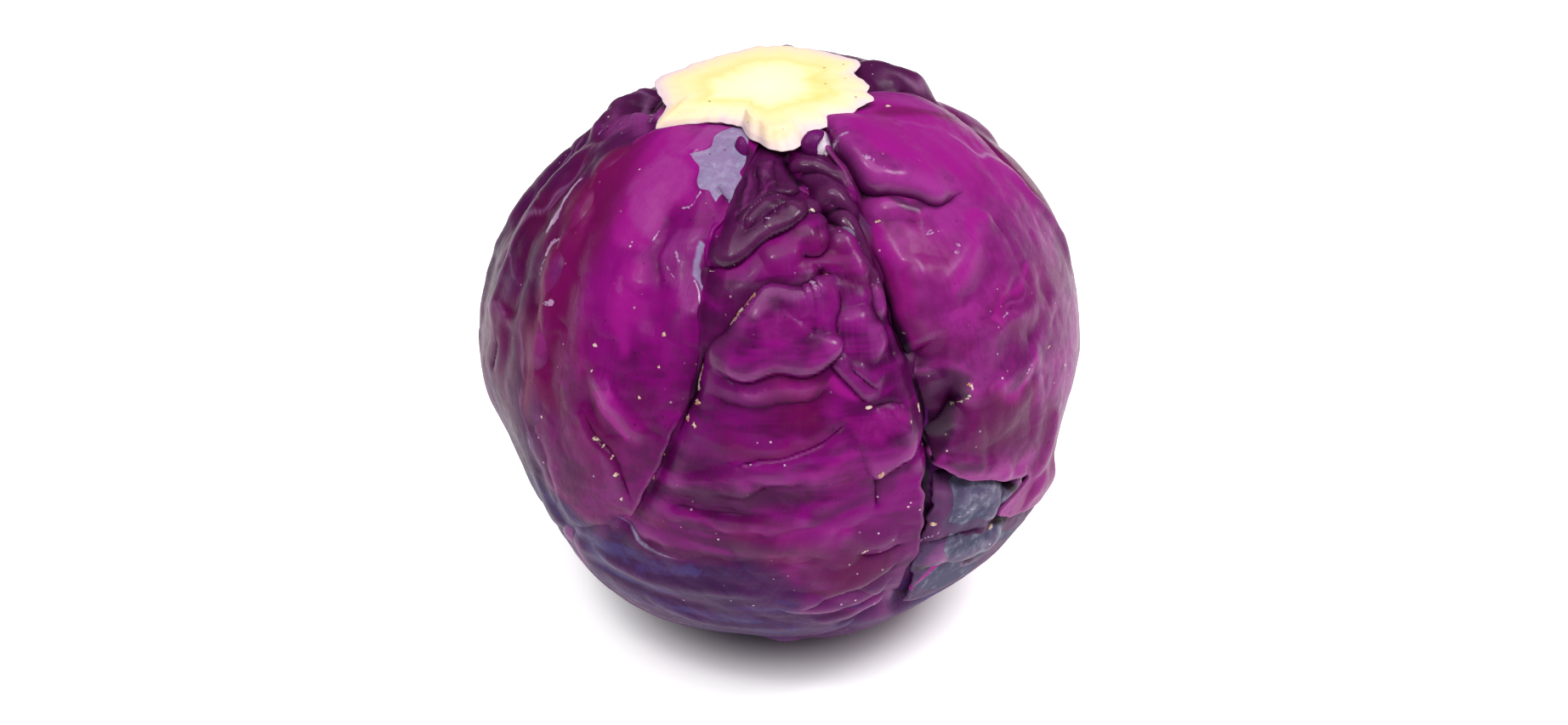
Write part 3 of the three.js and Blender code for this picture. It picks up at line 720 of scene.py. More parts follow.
def make_leaf(leaf, cells, folds, marks, curl=0.3, pressed=(), ripple=0.35):
    """One blade on the head, shaped from a flat net of cells, thickened and finished."""
    bpy.ops.object.select_all(action="DESELECT")
    bpy.ops.mesh.primitive_grid_add(x_subdivisions=cells[0], y_subdivisions=cells[1], size=2.0)
    blade = bpy.context.object
    blade.name = leaf + "_blade"
    flat = np.empty(len(blade.data.vertices) * 3)
    blade.data.vertices.foreach_get("co", flat)
    flat = flat.reshape(-1, 3)
    across = np.clip((flat[:, 0] + 1) / 2, 0, 1)
    even = np.clip((flat[:, 1] + 1) / 2, 0, 1)
    rib = heading([line[1] for line in blades[leaf][1]])
    passed = np.concatenate(([0], np.cumsum(np.linalg.norm(np.diff(rib, axis=0), axis=1))))
    along = np.interp(even, passed / passed[-1], np.linspace(0, 1, len(rib)))
    directions = spread(leaf, across, along)
    radius, shift, crease_shade = head_surface(directions, folds)
    depth = np.zeros(len(directions))
    free = np.ones(len(directions))
    for cover in leaf_order[leaf_order.index(leaf) + 1:]:
        away = outside(directions, cover)
        apart = np.ones(len(directions))
        for place, reach in melted.get(cover, []):
            apart = np.minimum(apart, 1 - in_spot(directions, place, reach))
        depth += apart * leaf_step * (1 - smooth(*step_run, away)) + hidden_sink * smooth(*sink_run, -away)
        free *= 1 - apart * (1 - smooth(*free_run, away))
    own = -outside(directions, leaf)
    flush = np.zeros(len(directions))
    for place, reach, amount in pressed:
        flush = np.maximum(flush, amount * in_spot(directions, place, reach))
    for place, reach in melted.get(leaf, []):
        flush = np.maximum(flush, 0.7 * in_spot(directions, place, reach))
    lift = curl * (0.5 + 0.5 * np.sin(7 * np.pi * along + blades[leaf][0]))
    lift = lift * (1 - smooth(0, curl_width, own))
    lift = lift * smooth(0.15, 0.3, along) * free * np.clip(1 - flush, 0, 1)
    radius = radius - depth + lift - flush * (1 - smooth(0, pressed_width, own))
    shape = (cells[1] + 1, cells[0] + 1)
    points = directions * radius[:, None] + shift * free[:, None]
    net = points.reshape(*shape, 3)
    width = np.linalg.norm(net[shape[0] // 2, 0] - net[shape[0] // 2, -1]) * 1.08
    length = passed[-1] * head_radius
    level = blurred(radius.reshape(shape), max(int(hollow_reach * cells[0] / width), 1),
                    max(int(hollow_reach * cells[1] / length), 1))
    points[:, 2] += head_centre.z / mm
    points[:, 2] = np.maximum(points[:, 2], 0.0)
    blade.data.vertices.foreach_set("co", (points * mm).ravel())
    blade.data.update()
    cover = painted(directions, marks)
    cover["crease_shade"] = crease_shade
    # How deep a place lies in a hollow or how far out on a crest, for the painted shade and highlights
    cover["hollow"] = np.clip((level.ravel() - radius) / hollow_depth, -1, 1)
    cover["edge"] = (1 - smooth(0.2, 0.9, own)) * np.clip(1 - flush, 0, 1) * free
    for name, amount in cover.items():
        blade.data.attributes.new(name, "FLOAT", "POINT").data.foreach_set("value", amount)
    for size, strength in ((coarse_ripple, ripple), (fine_ripple, 0.3 * ripple)):
        texture = bpy.data.textures.new(f"{leaf}_ripples", "CLOUDS")
        texture.noise_scale = size
        texture.noise_depth = 2
        bpy.ops.object.modifier_add(type="DISPLACE")
        modifier = blade.modifiers[-1]
        modifier.texture = texture
        modifier.texture_coords = "LOCAL"
        modifier.strength = 2 * strength * mm
        bpy.ops.object.modifier_apply(modifier=modifier.name)
    bpy.ops.object.modifier_add(type="SOLIDIFY")
    modifier = blade.modifiers[-1]
    modifier.thickness = leaf_thickness * mm
    modifier.offset = -1.0
    bpy.ops.object.modifier_apply(modifier=modifier.name)
    bpy.ops.object.shade_smooth()
    final = np.empty(len(blade.data.vertices) * 3)
    blade.data.vertices.foreach_get("co", final)
    final = final.reshape(-1, 3)
    final[:, 2] = np.maximum(final[:, 2], 0.0)
    blade.data.vertices.foreach_set("co", final.ravel())
    blade.data.update()
    return blade


def fit_leaf(blade, leaf, skin):
    blade.data.materials.clear()
    blade.data.materials.append(skin)
    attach(blade, "root")
    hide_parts(leaf)


back_folds = [
    ridge([(180, 20), (179, 60), (181, 100), (180, 140)], 2.2, 4.0),
    crease([(-168, 34), (-158, 58), (-160, 82)], 2.2, 4.0),
    crease([(150, 32), (158, 56), (152, 80)], 2.2, 4.0),
]
back_marks = stripes("vein_and_highlight", [
    ([(180, 20), (179, 60), (181, 100), (180, 140)], 1.6, 0.7),
])
plain_skin = leaf_skin("shaded_leaf_skin", (136, 14, 110), (108, 8, 92), (74, 6, 66), (196, 140, 190))
back_leaf = make_leaf("back_leaf", (100, 110), back_folds, back_marks)
fit_leaf(back_leaf, "back_leaf", plain_skin)


# The leaf at the back on the left
# It laps over the back leaf, and the leaves of the left side lap over it.
back_left_folds = [
    ridge([(-138, 22), (-134, 60), (-135, 100), (-132, 134)], 2.2, 4.0),
    ridge([(-135, 60), (-120, 76), (-106, 84)], 1.3, 3.6),
    ridge([(-135, 74), (-152, 88), (-166, 94)], 1.3, 3.6),
    crease([(-168, 34), (-158, 58), (-160, 82)], 2.2, 4.0),
    crease([(-108, 100), (-122, 112), (-140, 114)], 2.0, 4.0),
]
back_left_marks = stripes("vein_and_highlight", [
    ([(-138, 22), (-134, 60), (-135, 100), (-132, 134)], 1.6, 0.7),
    ([(-135, 60), (-120, 76), (-106, 84)], 1.0, 0.6), ([(-135, 74), (-152, 88), (-166, 94)], 1.0, 0.6),
]) + spots("shade_and_dark_tone", [
    ((-124, 26), 16, 1.0),
])
back_left_leaf = make_leaf("back_left_leaf", (110, 110), back_left_folds, back_left_marks)
fit_leaf(back_left_leaf, "back_left_leaf", plain_skin)


# The leaf at the back on the right
# A broad leaf whose edge slips under the big leaf of the right side.
back_right_folds = [
    ridge([(122, 20), (126, 50), (125, 90), (128, 132)], 2.2, 4.0),
    ridge([(125, 62), (140, 78), (156, 86)], 1.3, 3.6),
    ridge([(125, 76), (108, 90), (96, 96)], 1.3, 3.6),
    crease([(150, 32), (158, 56), (152, 80)], 2.2, 4.0),
    crease([(108, 84), (118, 97), (134, 104)], 2.0, 4.0),
    valley([(104, 20), (112, 22), (124, 25)], 3.0, 4.0),
    wrinkles((128, 28), 2.2, 16),
    ridge([(138, 20), (130, 28), (122, 36), (112, 46)], 2.0, 3.2),
    crease([(112, 22), (116, 30), (112, 38)], 1.6, 2.0),
]
back_right_marks = stripes("shade_and_dark_tone", [
    ([(31, 26), (29.5, 31), (28.6, 36), (28, 41), (28.4, 47), (29.6, 52), (31, 57), (32, 62),
      (31, 70)], 3.4, 0.9),
]) + stripes("vein_and_highlight", [
    ([(122, 20), (126, 50), (125, 90), (128, 132)], 1.6, 0.7),
    ([(125, 62), (140, 78), (156, 86)], 1.0, 0.6),
]) + spots("ruddy", [
    ((98, 55), 20, 0.8),
]) + spots("shade_and_dark_tone", [
    ((122, 24), 16, 1.0), ((100, 38), 10, 0.5),
])
back_right_leaf = make_leaf("back_right_leaf", (110, 110), back_right_folds, back_right_marks)
fit_leaf(back_right_leaf, "back_right_leaf", plain_skin)


# The crown leaf
# It runs down the front under the outer leaves and round the bottom, blue with wax, and carries
# the flat spot that the head rests on.
crown_folds = [
    ridge([(0, 106), (0, 124), (0, 146)], 1.2, 4.0),
    ridge([(-2, 120), (-22, 112), (-40, 112)], 1.0, 3.6),
    ridge([(2, 122), (22, 124), (44, 118)], 1.0, 3.6),
    valley([(-48, 99), (-41, 103), (-36, 109)], 1.6, 3.0),
    ridge([(64, 100), (74, 116), (84, 134)], 0.9, 3.0),
    ridge([(84, 108), (96, 122), (106, 138)], 0.6, 2.4),
]
crown_marks = stripes("slit_shadow", [
    ([(27.5, 78), (27.5, 88), (27.2, 98)], 3.0, 0.8),
]) + stripes("vein_and_highlight", [
    ([(64, 100), (74, 116), (84, 134)], 0.8, 0.5), ([(84, 108), (96, 122), (106, 138)], 0.6, 0.4),
]) + spots("ink", [
    ((-24, 110), 22, 1.0), ((4, 126), 24, 1.0), ((40, 122), 20, 0.9), ((-60, 118), 24, 0.9),
]) + spots("bloom", [
    ((-24, 100), 4, 0.5), ((-5, 111), 4, 0.45),
]) + patches("rosy_and_highlight", [
    ([(2, 113), (12, 98), (26, 97), (24, 106), (14, 112)], 2.0, 0.6),
]) + stripes("sheen", [
    ([(-44, 110), (-28, 113), (-10, 114), (6, 117)], 0.9, 0.4),
    ([(-36, 122), (-14, 127), (8, 128)], 0.8, 0.35),
]) + stripes("rosy_and_highlight", [
    ([(-40, 116), (-20, 120), (0, 122)], 2.0, 0.5),
]) + spots("fleck", [
    ((-3, 124), 0.3, 1.3),
])
blue_skin = leaf_skin("bluish_leaf_skin", (108, 22, 112), (82, 16, 94), (58, 16, 76), (160, 136, 190),
                      gloss=0.46)
crown_leaf = make_leaf("crown_leaf", (130, 130), crown_folds, crown_marks)
fit_leaf(crown_leaf, "crown_leaf", blue_skin)


# The blue-grey flaps low on the right
# The weathered end of a leaf that shows under the right leaf's lower edge, split in two flaps.
flap_folds = [
    crease([(24, 87.4), (30, 87.4), (35, 88), (40, 90.4), (46, 94.4), (51, 96.8)], 2.6, 1.8),
    ridge([(33, 92), (40, 94), (47, 96.6)], 0.8, 2.6),
    wrinkles((42, 102), 0.7, 16),
    ridge([(44, 106.5), (52, 107.5), (60, 107)], 1.2, 3.0),
    lip([(27.5, 109.5), (29, 107.5), (33, 107), (37, 108.5), (43, 110.3), (49, 111)], 1.8, 2.6),
    lip([(44.5, 103.5), (47, 100.8), (50.5, 98.3), (53, 95.5)], 1.8, 2.4),
    ridge([(28, 110), (27, 116), (26.5, 121)], 1.2, 1.2),
    ridge([(33, 97.5), (38, 95.5), (44, 94)], 0.7, 2.4),
    crease([(44, 99.6), (47, 101.6), (52, 102), (57, 102)], 3.4, 1.3),
    crease([(45, 99), (46.6, 97), (50, 95.6)], 1.6, 1.2),
    crease([(28, 102), (35, 101.6), (42, 102.4)], 1.4, 1.2),
    valley([(30, 104), (38, 105), (46, 106)], 0.7, 1.8),
    wrinkles((36, 92), 0.5, 8),
]
flap_marks = stripes("slit_shadow", [
    ([(27.5, 85.4), (30, 87), (33, 87.6), (36, 89), (39.5, 91.4), (43, 93.8), (48.5, 97.2),
      (52.5, 98.7)], 1.0, 0.9), ([(51.5, 108), (46, 105), (43.5, 102.5), (45.5, 101.5)], 1.2, 0.9),
    ([(27, 109), (28, 107.6), (31, 107.2), (34.5, 108.8), (39, 111.6), (46, 116)], 0.9, 0.8),
    ([(26, 84), (26.4, 92), (26.6, 100)], 1.2, 0.7),
]) + patches("bloom", [
    ([(31, 89), (36, 89), (41, 92), (46.5, 96.5), (51.5, 99), (50, 100.6), (44.5, 100), (42, 100.6),
      (37, 100), (33, 98), (32, 93)], 0.9, 0.9),
    ([(34, 101.6), (41.5, 103.4), (49, 107), (56, 112), (48, 116), (40, 109.6), (33, 105)], 0.9, 0.9),
    ([(31, 110.6), (36, 110.6), (48, 118), (40, 121), (33, 119), (30, 115)], 0.9, 0.9),
]) + patches("rosy_and_highlight", [
    ([(27.6, 117), (28.4, 110.4), (29.8, 107.6), (32.6, 108.2), (31.2, 112.4)], 0.7, 0.9),
    ([(22, 84), (29, 87), (31, 92), (31, 97), (33.4, 101), (30, 104), (22, 102)], 1.0, 0.34),
]) + patches("shade_and_dark_tone", [
    ([(31, 89), (41, 91), (50, 97.6), (47, 100), (36, 97)], 1.4, 0.3),
    ([(26, 84), (54, 97), (54, 104), (30, 104)], 3.0, 0.24),
    ([(22, 84), (40, 88), (36, 91), (31, 93), (31, 97), (33.4, 101), (30, 104), (22, 104)], 1.0, 0.5),
]) + spots("shade_and_dark_tone", [
    ((34, 99), 4, 0.3),
]) + stripes("shine", [
    ([(30.6, 98), (31, 100), (30, 102)], 0.5, 1.0),
    ([(28, 118.6), (29.4, 116.4), (30.6, 115.4)], 0.5, 1.0),
    ([(33, 97.2), (36, 96.4), (38.5, 96)], 0.3, 1.0),
    ([(26.5, 102.5), (28.5, 101.5), (30.5, 100.5)], 0.7, 1.1),
]) + stripes("shade_and_dark_tone", [
    ([(29, 87.6), (36, 88.6), (44, 93), (52, 97)], 1.2, 0.8),
    ([(31, 102), (38, 103), (46, 102.6)], 2.0, 0.7),
]) + spots("fleck", [
    ((44.6, 105.4), 1.3, 0.9), ((28.4, 92), 0.4, 1.2), ((29.2, 95), 0.3, 1.2), ((29.5, 97), 0.7, 1.2),
]) + spots("sheen", [
    ((47, 104.6), 3, 0.6),
]) + stripes("bloom", [
    ([(27.4, 109.2), (29, 107.2), (33, 106.6), (37, 108), (43, 109.8), (49, 110.4)], 0.4, 1.0),
    ([(33, 88.6), (40, 90.6), (47, 95)], 0.4, 0.9),
]) + stripes("vein_and_highlight", [
    ([(33, 93.4), (38, 92.6), (43, 95.4), (48, 98.4)], 0.6, 1.1),
    ([(40, 97), (44, 97.4), (49, 99.4)], 0.6, 1.0), ([(36, 90.4), (40, 92), (44, 94)], 0.5, 1.0),
    ([(34, 96), (36, 94), (37, 91)], 0.5, 0.9), ([(36, 112), (42, 114), (48, 117)], 0.3, 0.6),
]) + stripes("fleck", [
    ([(27.5, 114), (27, 118), (25.5, 121.5)], 0.4, 1.0),
])
flap_skin = leaf_skin("weathered_leaf_skin", (96, 70, 112), (72, 48, 92), (50, 34, 72), (180, 166, 200),
                      gloss=0.5, bloom_colour=(86, 92, 120), wax_light=(158, 164, 184))
lower_right_leaf = make_leaf("lower_right_leaf", (90, 200), flap_folds, flap_marks)
fit_leaf(lower_right_leaf, "lower_right_leaf", flap_skin)


# The far left leaf
# A dull purple leaf with pale veins that wraps round the left limb.
far_left_folds = [
    wrinkles((-96, 58), 0.9, 34),
    ridge([(-104, 34), (-100, 48), (-96, 62), (-92, 78), (-84, 94)], 1.4, 3.6),
    ridge([(-88, 38), (-82, 52), (-78, 66), (-74, 80)], 1.0, 2.6),
    ridge([(-72, 22), (-69, 34), (-65, 42), (-61.5, 50), (-57, 58), (-54.5, 66), (-53, 76), (-51.5, 86)],
          1.0, 3.4),
    valley([(-82, 34), (-77, 46), (-71, 58), (-67, 72), (-64, 86)], 1.2, 3.6),
    ridge([(-79, 73.5), (-72.5, 72.5), (-64, 71.5)], 0.7, 2.0),
    valley([(-97, 36), (-92, 52), (-87, 66)], 1.2, 3.0),
    crease([(-72, 77), (-72, 81), (-71.5, 85)], 1.4, 1.2),
    ridge([(-120, 31), (-110, 32), (-100, 34.4), (-91, 39)], 2.6, 2.8),
    valley([(-116, 24), (-104, 25.5), (-92, 28.5)], 3.0, 3.2),
    wrinkles((-108, 31), 3.4, 13),
    crease([(-96, 22), (-88, 24), (-80, 27)], 2.2, 1.6),
    ridge([(-92, 20), (-84, 22), (-76, 24)], 1.4, 1.6),
]
blue_zone = patches("ink", [
    ([(-76, 108), (-58, 98), (-47, 97), (-40, 99), (-32, 98.5), (-25.5, 100.5), (-21.5, 101),
      (-16, 100), (-8, 99), (0, 101.6), (5, 108), (6, 115), (18, 119), (32, 117), (40, 150),
      (-90, 150)], 4.6, 0.92),
]) + stripes("ink", [
    ([(-58, 88), (-52, 96), (-46, 101)], 3.0, 0.55),
]) + stripes("sheen", [
    ([(-48, 101), (-40, 106), (-30, 110), (-18, 110.5), (-6, 112.5)], 0.7, 0.45),
    ([(-36, 117), (-18, 121), (2, 124), (16, 124)], 0.8, 0.35),
]) + stripes("rosy_and_highlight", [
    ([(-40, 111), (-24, 114.6), (-8, 116)], 1.8, 0.5), ([(-30, 104), (-16, 105.6), (-4, 106)], 1.6, 0.45),
    ([(-60, 104), (-50, 110), (-38, 117)], 1.8, 0.45),
]) + stripes("shade_and_dark_tone", [
    ([(-42, 104), (-30, 104), (-20, 105)], 1.6, 0.5), ([(-26, 91.4), (-30, 93.4), (-34, 93.6)], 2.4, 0.5),
]) + stripes("bloom", [
    ([(-33, 95.6), (-31, 98.4), (-27.5, 100.8), (-24, 101.4), (-20, 101.2), (-16, 100)], 0.9, 0.5),
    ([(-57, 84), (-54.5, 89), (-51.5, 94), (-48.5, 98), (-45, 102)], 0.8, 0.5),
]) + stripes("ruddy", [
    ([(-32, 92.4), (-26, 93.4), (-18, 91.6)], 1.8, 0.6),
])
far_left_marks = blue_zone + stripes("ruddy", [
    ([(-72, 22), (-70, 34), (-66, 42), (-62.5, 50), (-58, 60), (-55.5, 70), (-54, 80),
      (-52, 88)], 3.6, 1.0),
]) + stripes("shade_and_dark_tone", [
    ([(-78, 26), (-77, 40), (-72, 50), (-67, 60), (-62, 72), (-59, 84)], 2.6, 0.7),
]) + patches("sheen", [
    ([(-100, 26), (-86, 23), (-76, 28), (-82, 36), (-98, 34)], 2.4, 0.6),
]) + stripes("vein_and_highlight", [
    ([(-86, 52), (-83, 55), (-80, 60), (-79, 66)], 0.5, 0.5),
    ([(-92, 58), (-88, 60), (-81, 65), (-77, 67)], 0.5, 0.5),
    ([(-90, 70), (-85, 75), (-77, 77)], 0.5, 0.5),
    ([(-60, 68), (-58, 76), (-56, 84), (-52, 92), (-46, 99), (-40, 104)], 0.6, 0.7),
    ([(-82, 38), (-79, 44), (-77, 52)], 0.5, 0.6), ([(-100, 44), (-92, 50), (-86, 52)], 0.4, 0.7),
    ([(-84, 38), (-80, 46), (-79, 56), (-79, 64)], 0.4, 0.8),
    ([(-84, 66), (-76, 72), (-72, 80)], 0.4, 0.6),
    ([(-92, 64), (-86, 72), (-82, 82), (-78, 90)], 0.4, 0.6),
    # This stripe is a painted sheen on the crest of the ruffle by the stem
    ([(-112, 34.5), (-108.5, 30.5), (-100, 26), (-94, 23)], 1.2, 0.6),
    ([(-92, 50), (-91.5, 56), (-84.5, 58), (-82.5, 61.5), (-77, 63), (-71, 63.5)], 0.5, 0.7),
    ([(-96, 40.5), (-96.5, 44), (-93, 46.5)], 0.4, 0.7),
    ([(-79, 73.5), (-72.5, 72.5), (-64, 71.5)], 0.5, 0.6),
]) + stripes("shine", [
    ([(-72.5, 41), (-70.5, 46), (-68.4, 50), (-68, 54)], 0.9, 1.2),
    ([(-65, 51), (-63.6, 55), (-62.5, 59)], 0.8, 1.1), ([(-90, 25), (-84, 26), (-78, 29)], 0.5, 0.8),
    ([(-96, 33), (-92, 35), (-88, 37)], 0.5, 0.8),
]) + spots("shine", [
    ((-76, 32), 0.9, 0.8),
]) + patches("shade_and_dark_tone", [
    ([(-124, 14), (-76, 14), (-80, 22), (-92, 28), (-96, 38), (-124, 40)], 2.0, 0.95),
    ([(-70, 84), (-54, 84), (-44, 96), (-40, 104), (-56, 106), (-68, 98)], 3.0, 0.5),
]) + spots("shade_and_dark_tone", [
    ((-90, 44), 14, 0.5),
]) + stripes("bloom", [
    ([(-104, 37), (-110, 36), (-112, 33)], 1.0, 0.62),
]) + stripes("sheen", [
    ([(-114, 29), (-104, 28), (-96, 30)], 1.6, 0.5),
]) + stripes("slit_shadow", [
    ([(-104, 27), (-98, 25.4), (-94, 26)], 1.2, 0.8),
]) + spots("sheen", [
    ((-68, 74), 8, 0.3), ((-88, 60), 12, 0.25),
]) + spots("ink", [
    ((-60, 112), 16, 0.9), ((-78, 120), 18, 0.9),
]) + stripes("ink", [
    ([(-56, 92), (-48, 101), (-42, 108)], 4.0, 0.6),
]) + spots("fleck", [
    ((-64, 89), 0.4, 1.3), ((-46.5, 97), 0.5, 1.3),
]) + stripes("fleck", [
    ([(-46, 100), (-44, 102)], 0.4, 1.2), ([(-47, 109), (-43, 112), (-40, 114)], 0.4, 1.2),
])
dull_skin = leaf_skin("dull_leaf_skin", (100, 22, 94), (76, 12, 74), (56, 8, 58), (176, 120, 176),
                      streak=0.9, gloss=0.42)
far_left_pressed = [((-66, 112), 14, 2.4), ((-84, 118), 14, 2.4), ((-102, 108), 14, 2.2),
                    ((-48, 106), 14, 2.4)]
far_left_leaf = make_leaf("far_left_leaf", (120, 180), far_left_folds, far_left_marks,
                          pressed=far_left_pressed)
fit_leaf(far_left_leaf, "far_left_leaf", dull_skin)


# The front leaf
# The crumpled leaf that fans down from the stem, pressed into folds while the head grew.
groove = [
    valley([(31, 26), (30, 30), (29.4, 34), (27.8, 39), (27, 44), (27.2, 49), (27, 54), (26.8, 60),
            (28.2, 66)], 3.8, 4.2),
    crease([(29.8, 30), (30, 33), (28.6, 37), (27.2, 42), (27, 48), (27, 54), (26.8, 60), (28, 65)],
           1.6, 1.6),
    valley([(31, 60), (32, 64), (31, 68)], 1.2, 4.0),
    crease([(28.5, 66), (29.6, 70), (29.6, 74), (28.4, 78), (28.2, 83), (29, 87)], 2.0, 1.6),
]
left_crack = [
    crease([(-14, 58), (-16.5, 60.5), (-17, 64), (-16.5, 68.5), (-18, 72), (-20, 75)], 2.6, 2.0),
]
dark_lobe = [
    lip([(-19, 44.5), (-15, 43.5), (-11.5, 42), (-6, 39.5), (0.5, 37), (5.5, 34), (9, 31)],
        2.0, 2.2, 1.1, 8.0),
]
front_folds = groove + left_crack + dark_lobe + [
    lip([(-3, 30.5), (2, 29.2), (5, 27.6), (4.6, 24), (4, 20)], 1.2, 2.0, 0.5),
    crease([(4, 16), (4.2, 20), (5, 23), (8.4, 25), (11, 27.5), (13.5, 30.5)], 3.4, 1.4),
    ridge([(-18, 36), (-10, 35), (-2, 31.6)], 0.7, 3.4),
    valley([(-19, 31), (-10, 29), (-3, 26)], 0.8, 3.0),
    crease([(-14, 39), (-8, 37.4), (-1, 34.6), (3, 31.6)], 0.9, 2.0),
    wrinkles((-6, 32), 0.4, 9),
    ridge([(4, 39.6), (-3, 43), (-10, 47), (-16, 52)], 1.0, 4.6),
    ridge([(-4, 43), (1, 41), (6, 38.4), (11, 38)], 0.8, 3.4),
    crease([(13, 32.6), (14, 33.5), (15.5, 35), (17.5, 37.5)], 3.8, 1.2),
    crease([(3.4, 41.2), (6.5, 42), (10.6, 42.4), (13.6, 40.8), (14.6, 38), (14, 35)], 1.7, 1.4),
    ridge([(8.6, 31), (9.4, 34)], 0.7, 1.8),
    lip([(14, 46), (9, 47), (5, 47.8), (0.5, 47.5), (-3, 48.5), (-6, 51), (-8, 52.5), (-10.5, 56),
         (-14.5, 59), (-16, 61)], 1.7, 2.4, 0.8, 7.0),
    crease([(10, 44), (9.6, 46.6)], 2.6, 1.4),
    ridge([(5.2, 47), (5.6, 49.6)], 0.8, 0.5),
    ridge([(6.6, 46.6), (7.2, 49.8)], 0.8, 0.5),
    ridge([(8, 46.8), (8.8, 49.4)], 0.8, 0.5),
    bump((0, 54.5), 1.0, 9.0),
    valley([(4, 50.6), (6, 53), (6.4, 56)], 0.7, 1.8),
    wrinkles((0, 54), 0.7, 9),
    lip([(-12.5, 61.5), (-10, 62), (-6.5, 63), (-2, 62.5), (1, 62), (4.5, 61.5), (8, 61), (11, 60),
         (12.5, 58), (13.5, 55)], 1.6, 2.4, 0.7, 6.0),
    crease([(11.4, 58.4), (12.2, 55), (13.6, 52), (13.4, 48)], 1.6, 1.6),
    ridge([(-13, 65), (-6, 66), (1, 65.6), (8, 63.6)], 0.9, 2.2),
    crease([(-15, 66.6), (-9, 68.4), (0, 68.6), (7, 67), (11, 65)], 1.0, 2.0),
    ridge([(16.6, 38), (19.4, 42.5), (18.6, 48)], 1.3, 3.2),
    wrinkles((18, 46), 0.9, 6),
    lip([(12, 30), (16, 33.5), (20, 38), (22, 41), (22.4, 45)], 1.2, 1.8, 0.5, 5.0),
    crease([(14, 31.5), (15.4, 34), (18.4, 36.6)], 3.6, 1.3),
    ridge([(23, 45), (23.8, 48.5), (24, 52), (23.5, 55)], 1.3, 2.0),
    crease([(20.4, 45), (21.2, 49), (21, 53), (22, 57)], 1.4, 1.2),
    ridge([(16.6, 52), (18.6, 57), (20.4, 61)], 1.2, 3.4),
    wrinkles((19, 58), 0.9, 7),
    crease([(20.4, 50.5), (22.6, 56), (23.6, 60.5), (24.6, 64)], 1.8, 1.3),
    ridge([(25.2, 57), (25.6, 61), (26, 65)], 0.9, 1.3),
    lip([(10, 60.6), (12.5, 63), (15, 65.5), (17, 68.4)], 1.1, 1.6, 0.4, 3.6),
    lip([(14, 61), (16.4, 63.4), (18.6, 66)], 0.7, 1.2, 0.3, 2.4),
    valley([(-18, 71.5), (-10, 71), (-2, 71), (6, 69.4), (11, 68)], 0.7, 2.6),
    ridge([(-18, 75.5), (-8, 74.6), (0, 74), (8, 72), (13, 70.6)], 0.7, 2.6),
    lip([(14, 72), (9, 74.4), (4, 76.6), (-1, 78), (-6, 79.6), (-12, 81.4)], 0.7, 3.0, 0.3),
    ridge([(-22, 84), (-10, 84), (0, 82.5), (10, 80), (16, 78)], 0.7, 3.0),
    valley([(-26, 88), (-14, 87.4), (-2, 86.6), (8, 84.6), (15, 82)], 0.9, 3.0),
    ridge([(-22, 92), (-10, 91.4), (2, 90), (12, 86)], 0.6, 2.6),
    wrinkles((0, 38), 0.6, 18),
    wrinkles((4, 82), 0.9, 22),
    wrinkles((-14, 104), 0.9, 26),
    wrinkles((16, 110), 1.0, 12),
    lip([(1, 29.5), (-4.5, 31), (-10.5, 33.5), (-13.5, 36)], 0.45, 0.8, 0.2, 2.0),
    lip([(3, 30), (-2.5, 31.6), (-8, 34.4), (-11, 37)], 0.4, 0.8, 0.2, 1.6),
    lip([(4, 31.4), (-1, 34), (-5, 37)], 0.4, 0.8, 0.2, 1.6),
    crease([(-10, 24), (-9, 28), (-6, 31)], 0.8, 1.0),
    ridge([(-16, 26), (-13, 30), (-13, 34)], 0.7, 1.6),
    crease([(-2, 21), (-2, 25), (0, 28.6)], 0.7, 1.0),
    roll([(8, 20.4), (15.5, 22), (23, 24), (27.5, 26.5), (28.4, 29.5)], 1.2, 2.1),
    roll([(9.6, 24.8), (15.5, 27.6), (21.5, 30), (25, 32)], 1.4, 3.6),
    crease([(7, 22.4), (13, 23.8), (20, 26), (26, 29.6)], 1.5, 1.2),
    crease([(8, 27.6), (12, 30.6), (17.5, 33.4), (24, 34)], 1.5, 1.2),
    crease([(16.5, 69.8), (20, 69.6), (23.6, 70.6)], 1.1, 1.3),
    bump((22.6, 74), 0.3, 4.6),
    lip([(17, 83), (18.4, 82.4), (21.5, 81), (25, 79), (27.4, 77), (28.6, 72.6)], 1.2, 1.8, 0.7, 7.0),
    crease([(17.4, 82), (17.4, 85.5), (17.8, 90)], 1.4, 1.2),
    ridge([(24.4, 81), (26, 85), (27, 91)], 0.8, 1.8),
    wrinkles((24, 88), 0.8, 7),
    ridge([(-10, 95), (-3, 96), (5.5, 95.5), (11, 92), (18, 88)], 0.8, 2.6),
    lip([(4, 114), (10, 110.6), (17, 107), (23, 105)], 0.9, 2.0, 0.4, 6.0),
    lip([(-2, 114.5), (7, 115.5), (16, 113.6), (22, 109)], 1.1, 2.0, 0.5, 6.0),
    valley([(12, 126), (19, 121), (25, 114)], 1.4, 2.6),
    ridge([(6, 121), (15, 118), (22, 113.6)], 1.0, 2.4),
    ridge([(-40, 107), (-28, 110), (-14, 110), (-2, 108)], 0.8, 2.6),
    valley([(-44, 112), (-28, 116), (-10, 117)], 0.8, 2.6),
    valley([(-31, 96.4), (-27, 99.6), (-20, 99.6)], 0.7, 1.6),
    ridge([(-30, 121), (-12, 124), (8, 124)], 0.7, 3.0),
    crease([(-14, 85.6), (-6, 85.2), (1, 83.6), (6, 82)], 0.8, 1.4),
    crease([(-20, 90), (-12, 89.4), (-4, 88.4)], 0.7, 1.4),
    ridge([(10, 94), (15, 97), (21, 96)], 0.8, 2.0),
    crease([(13, 99), (19, 101), (24, 99.4)], 0.9, 1.6),
]
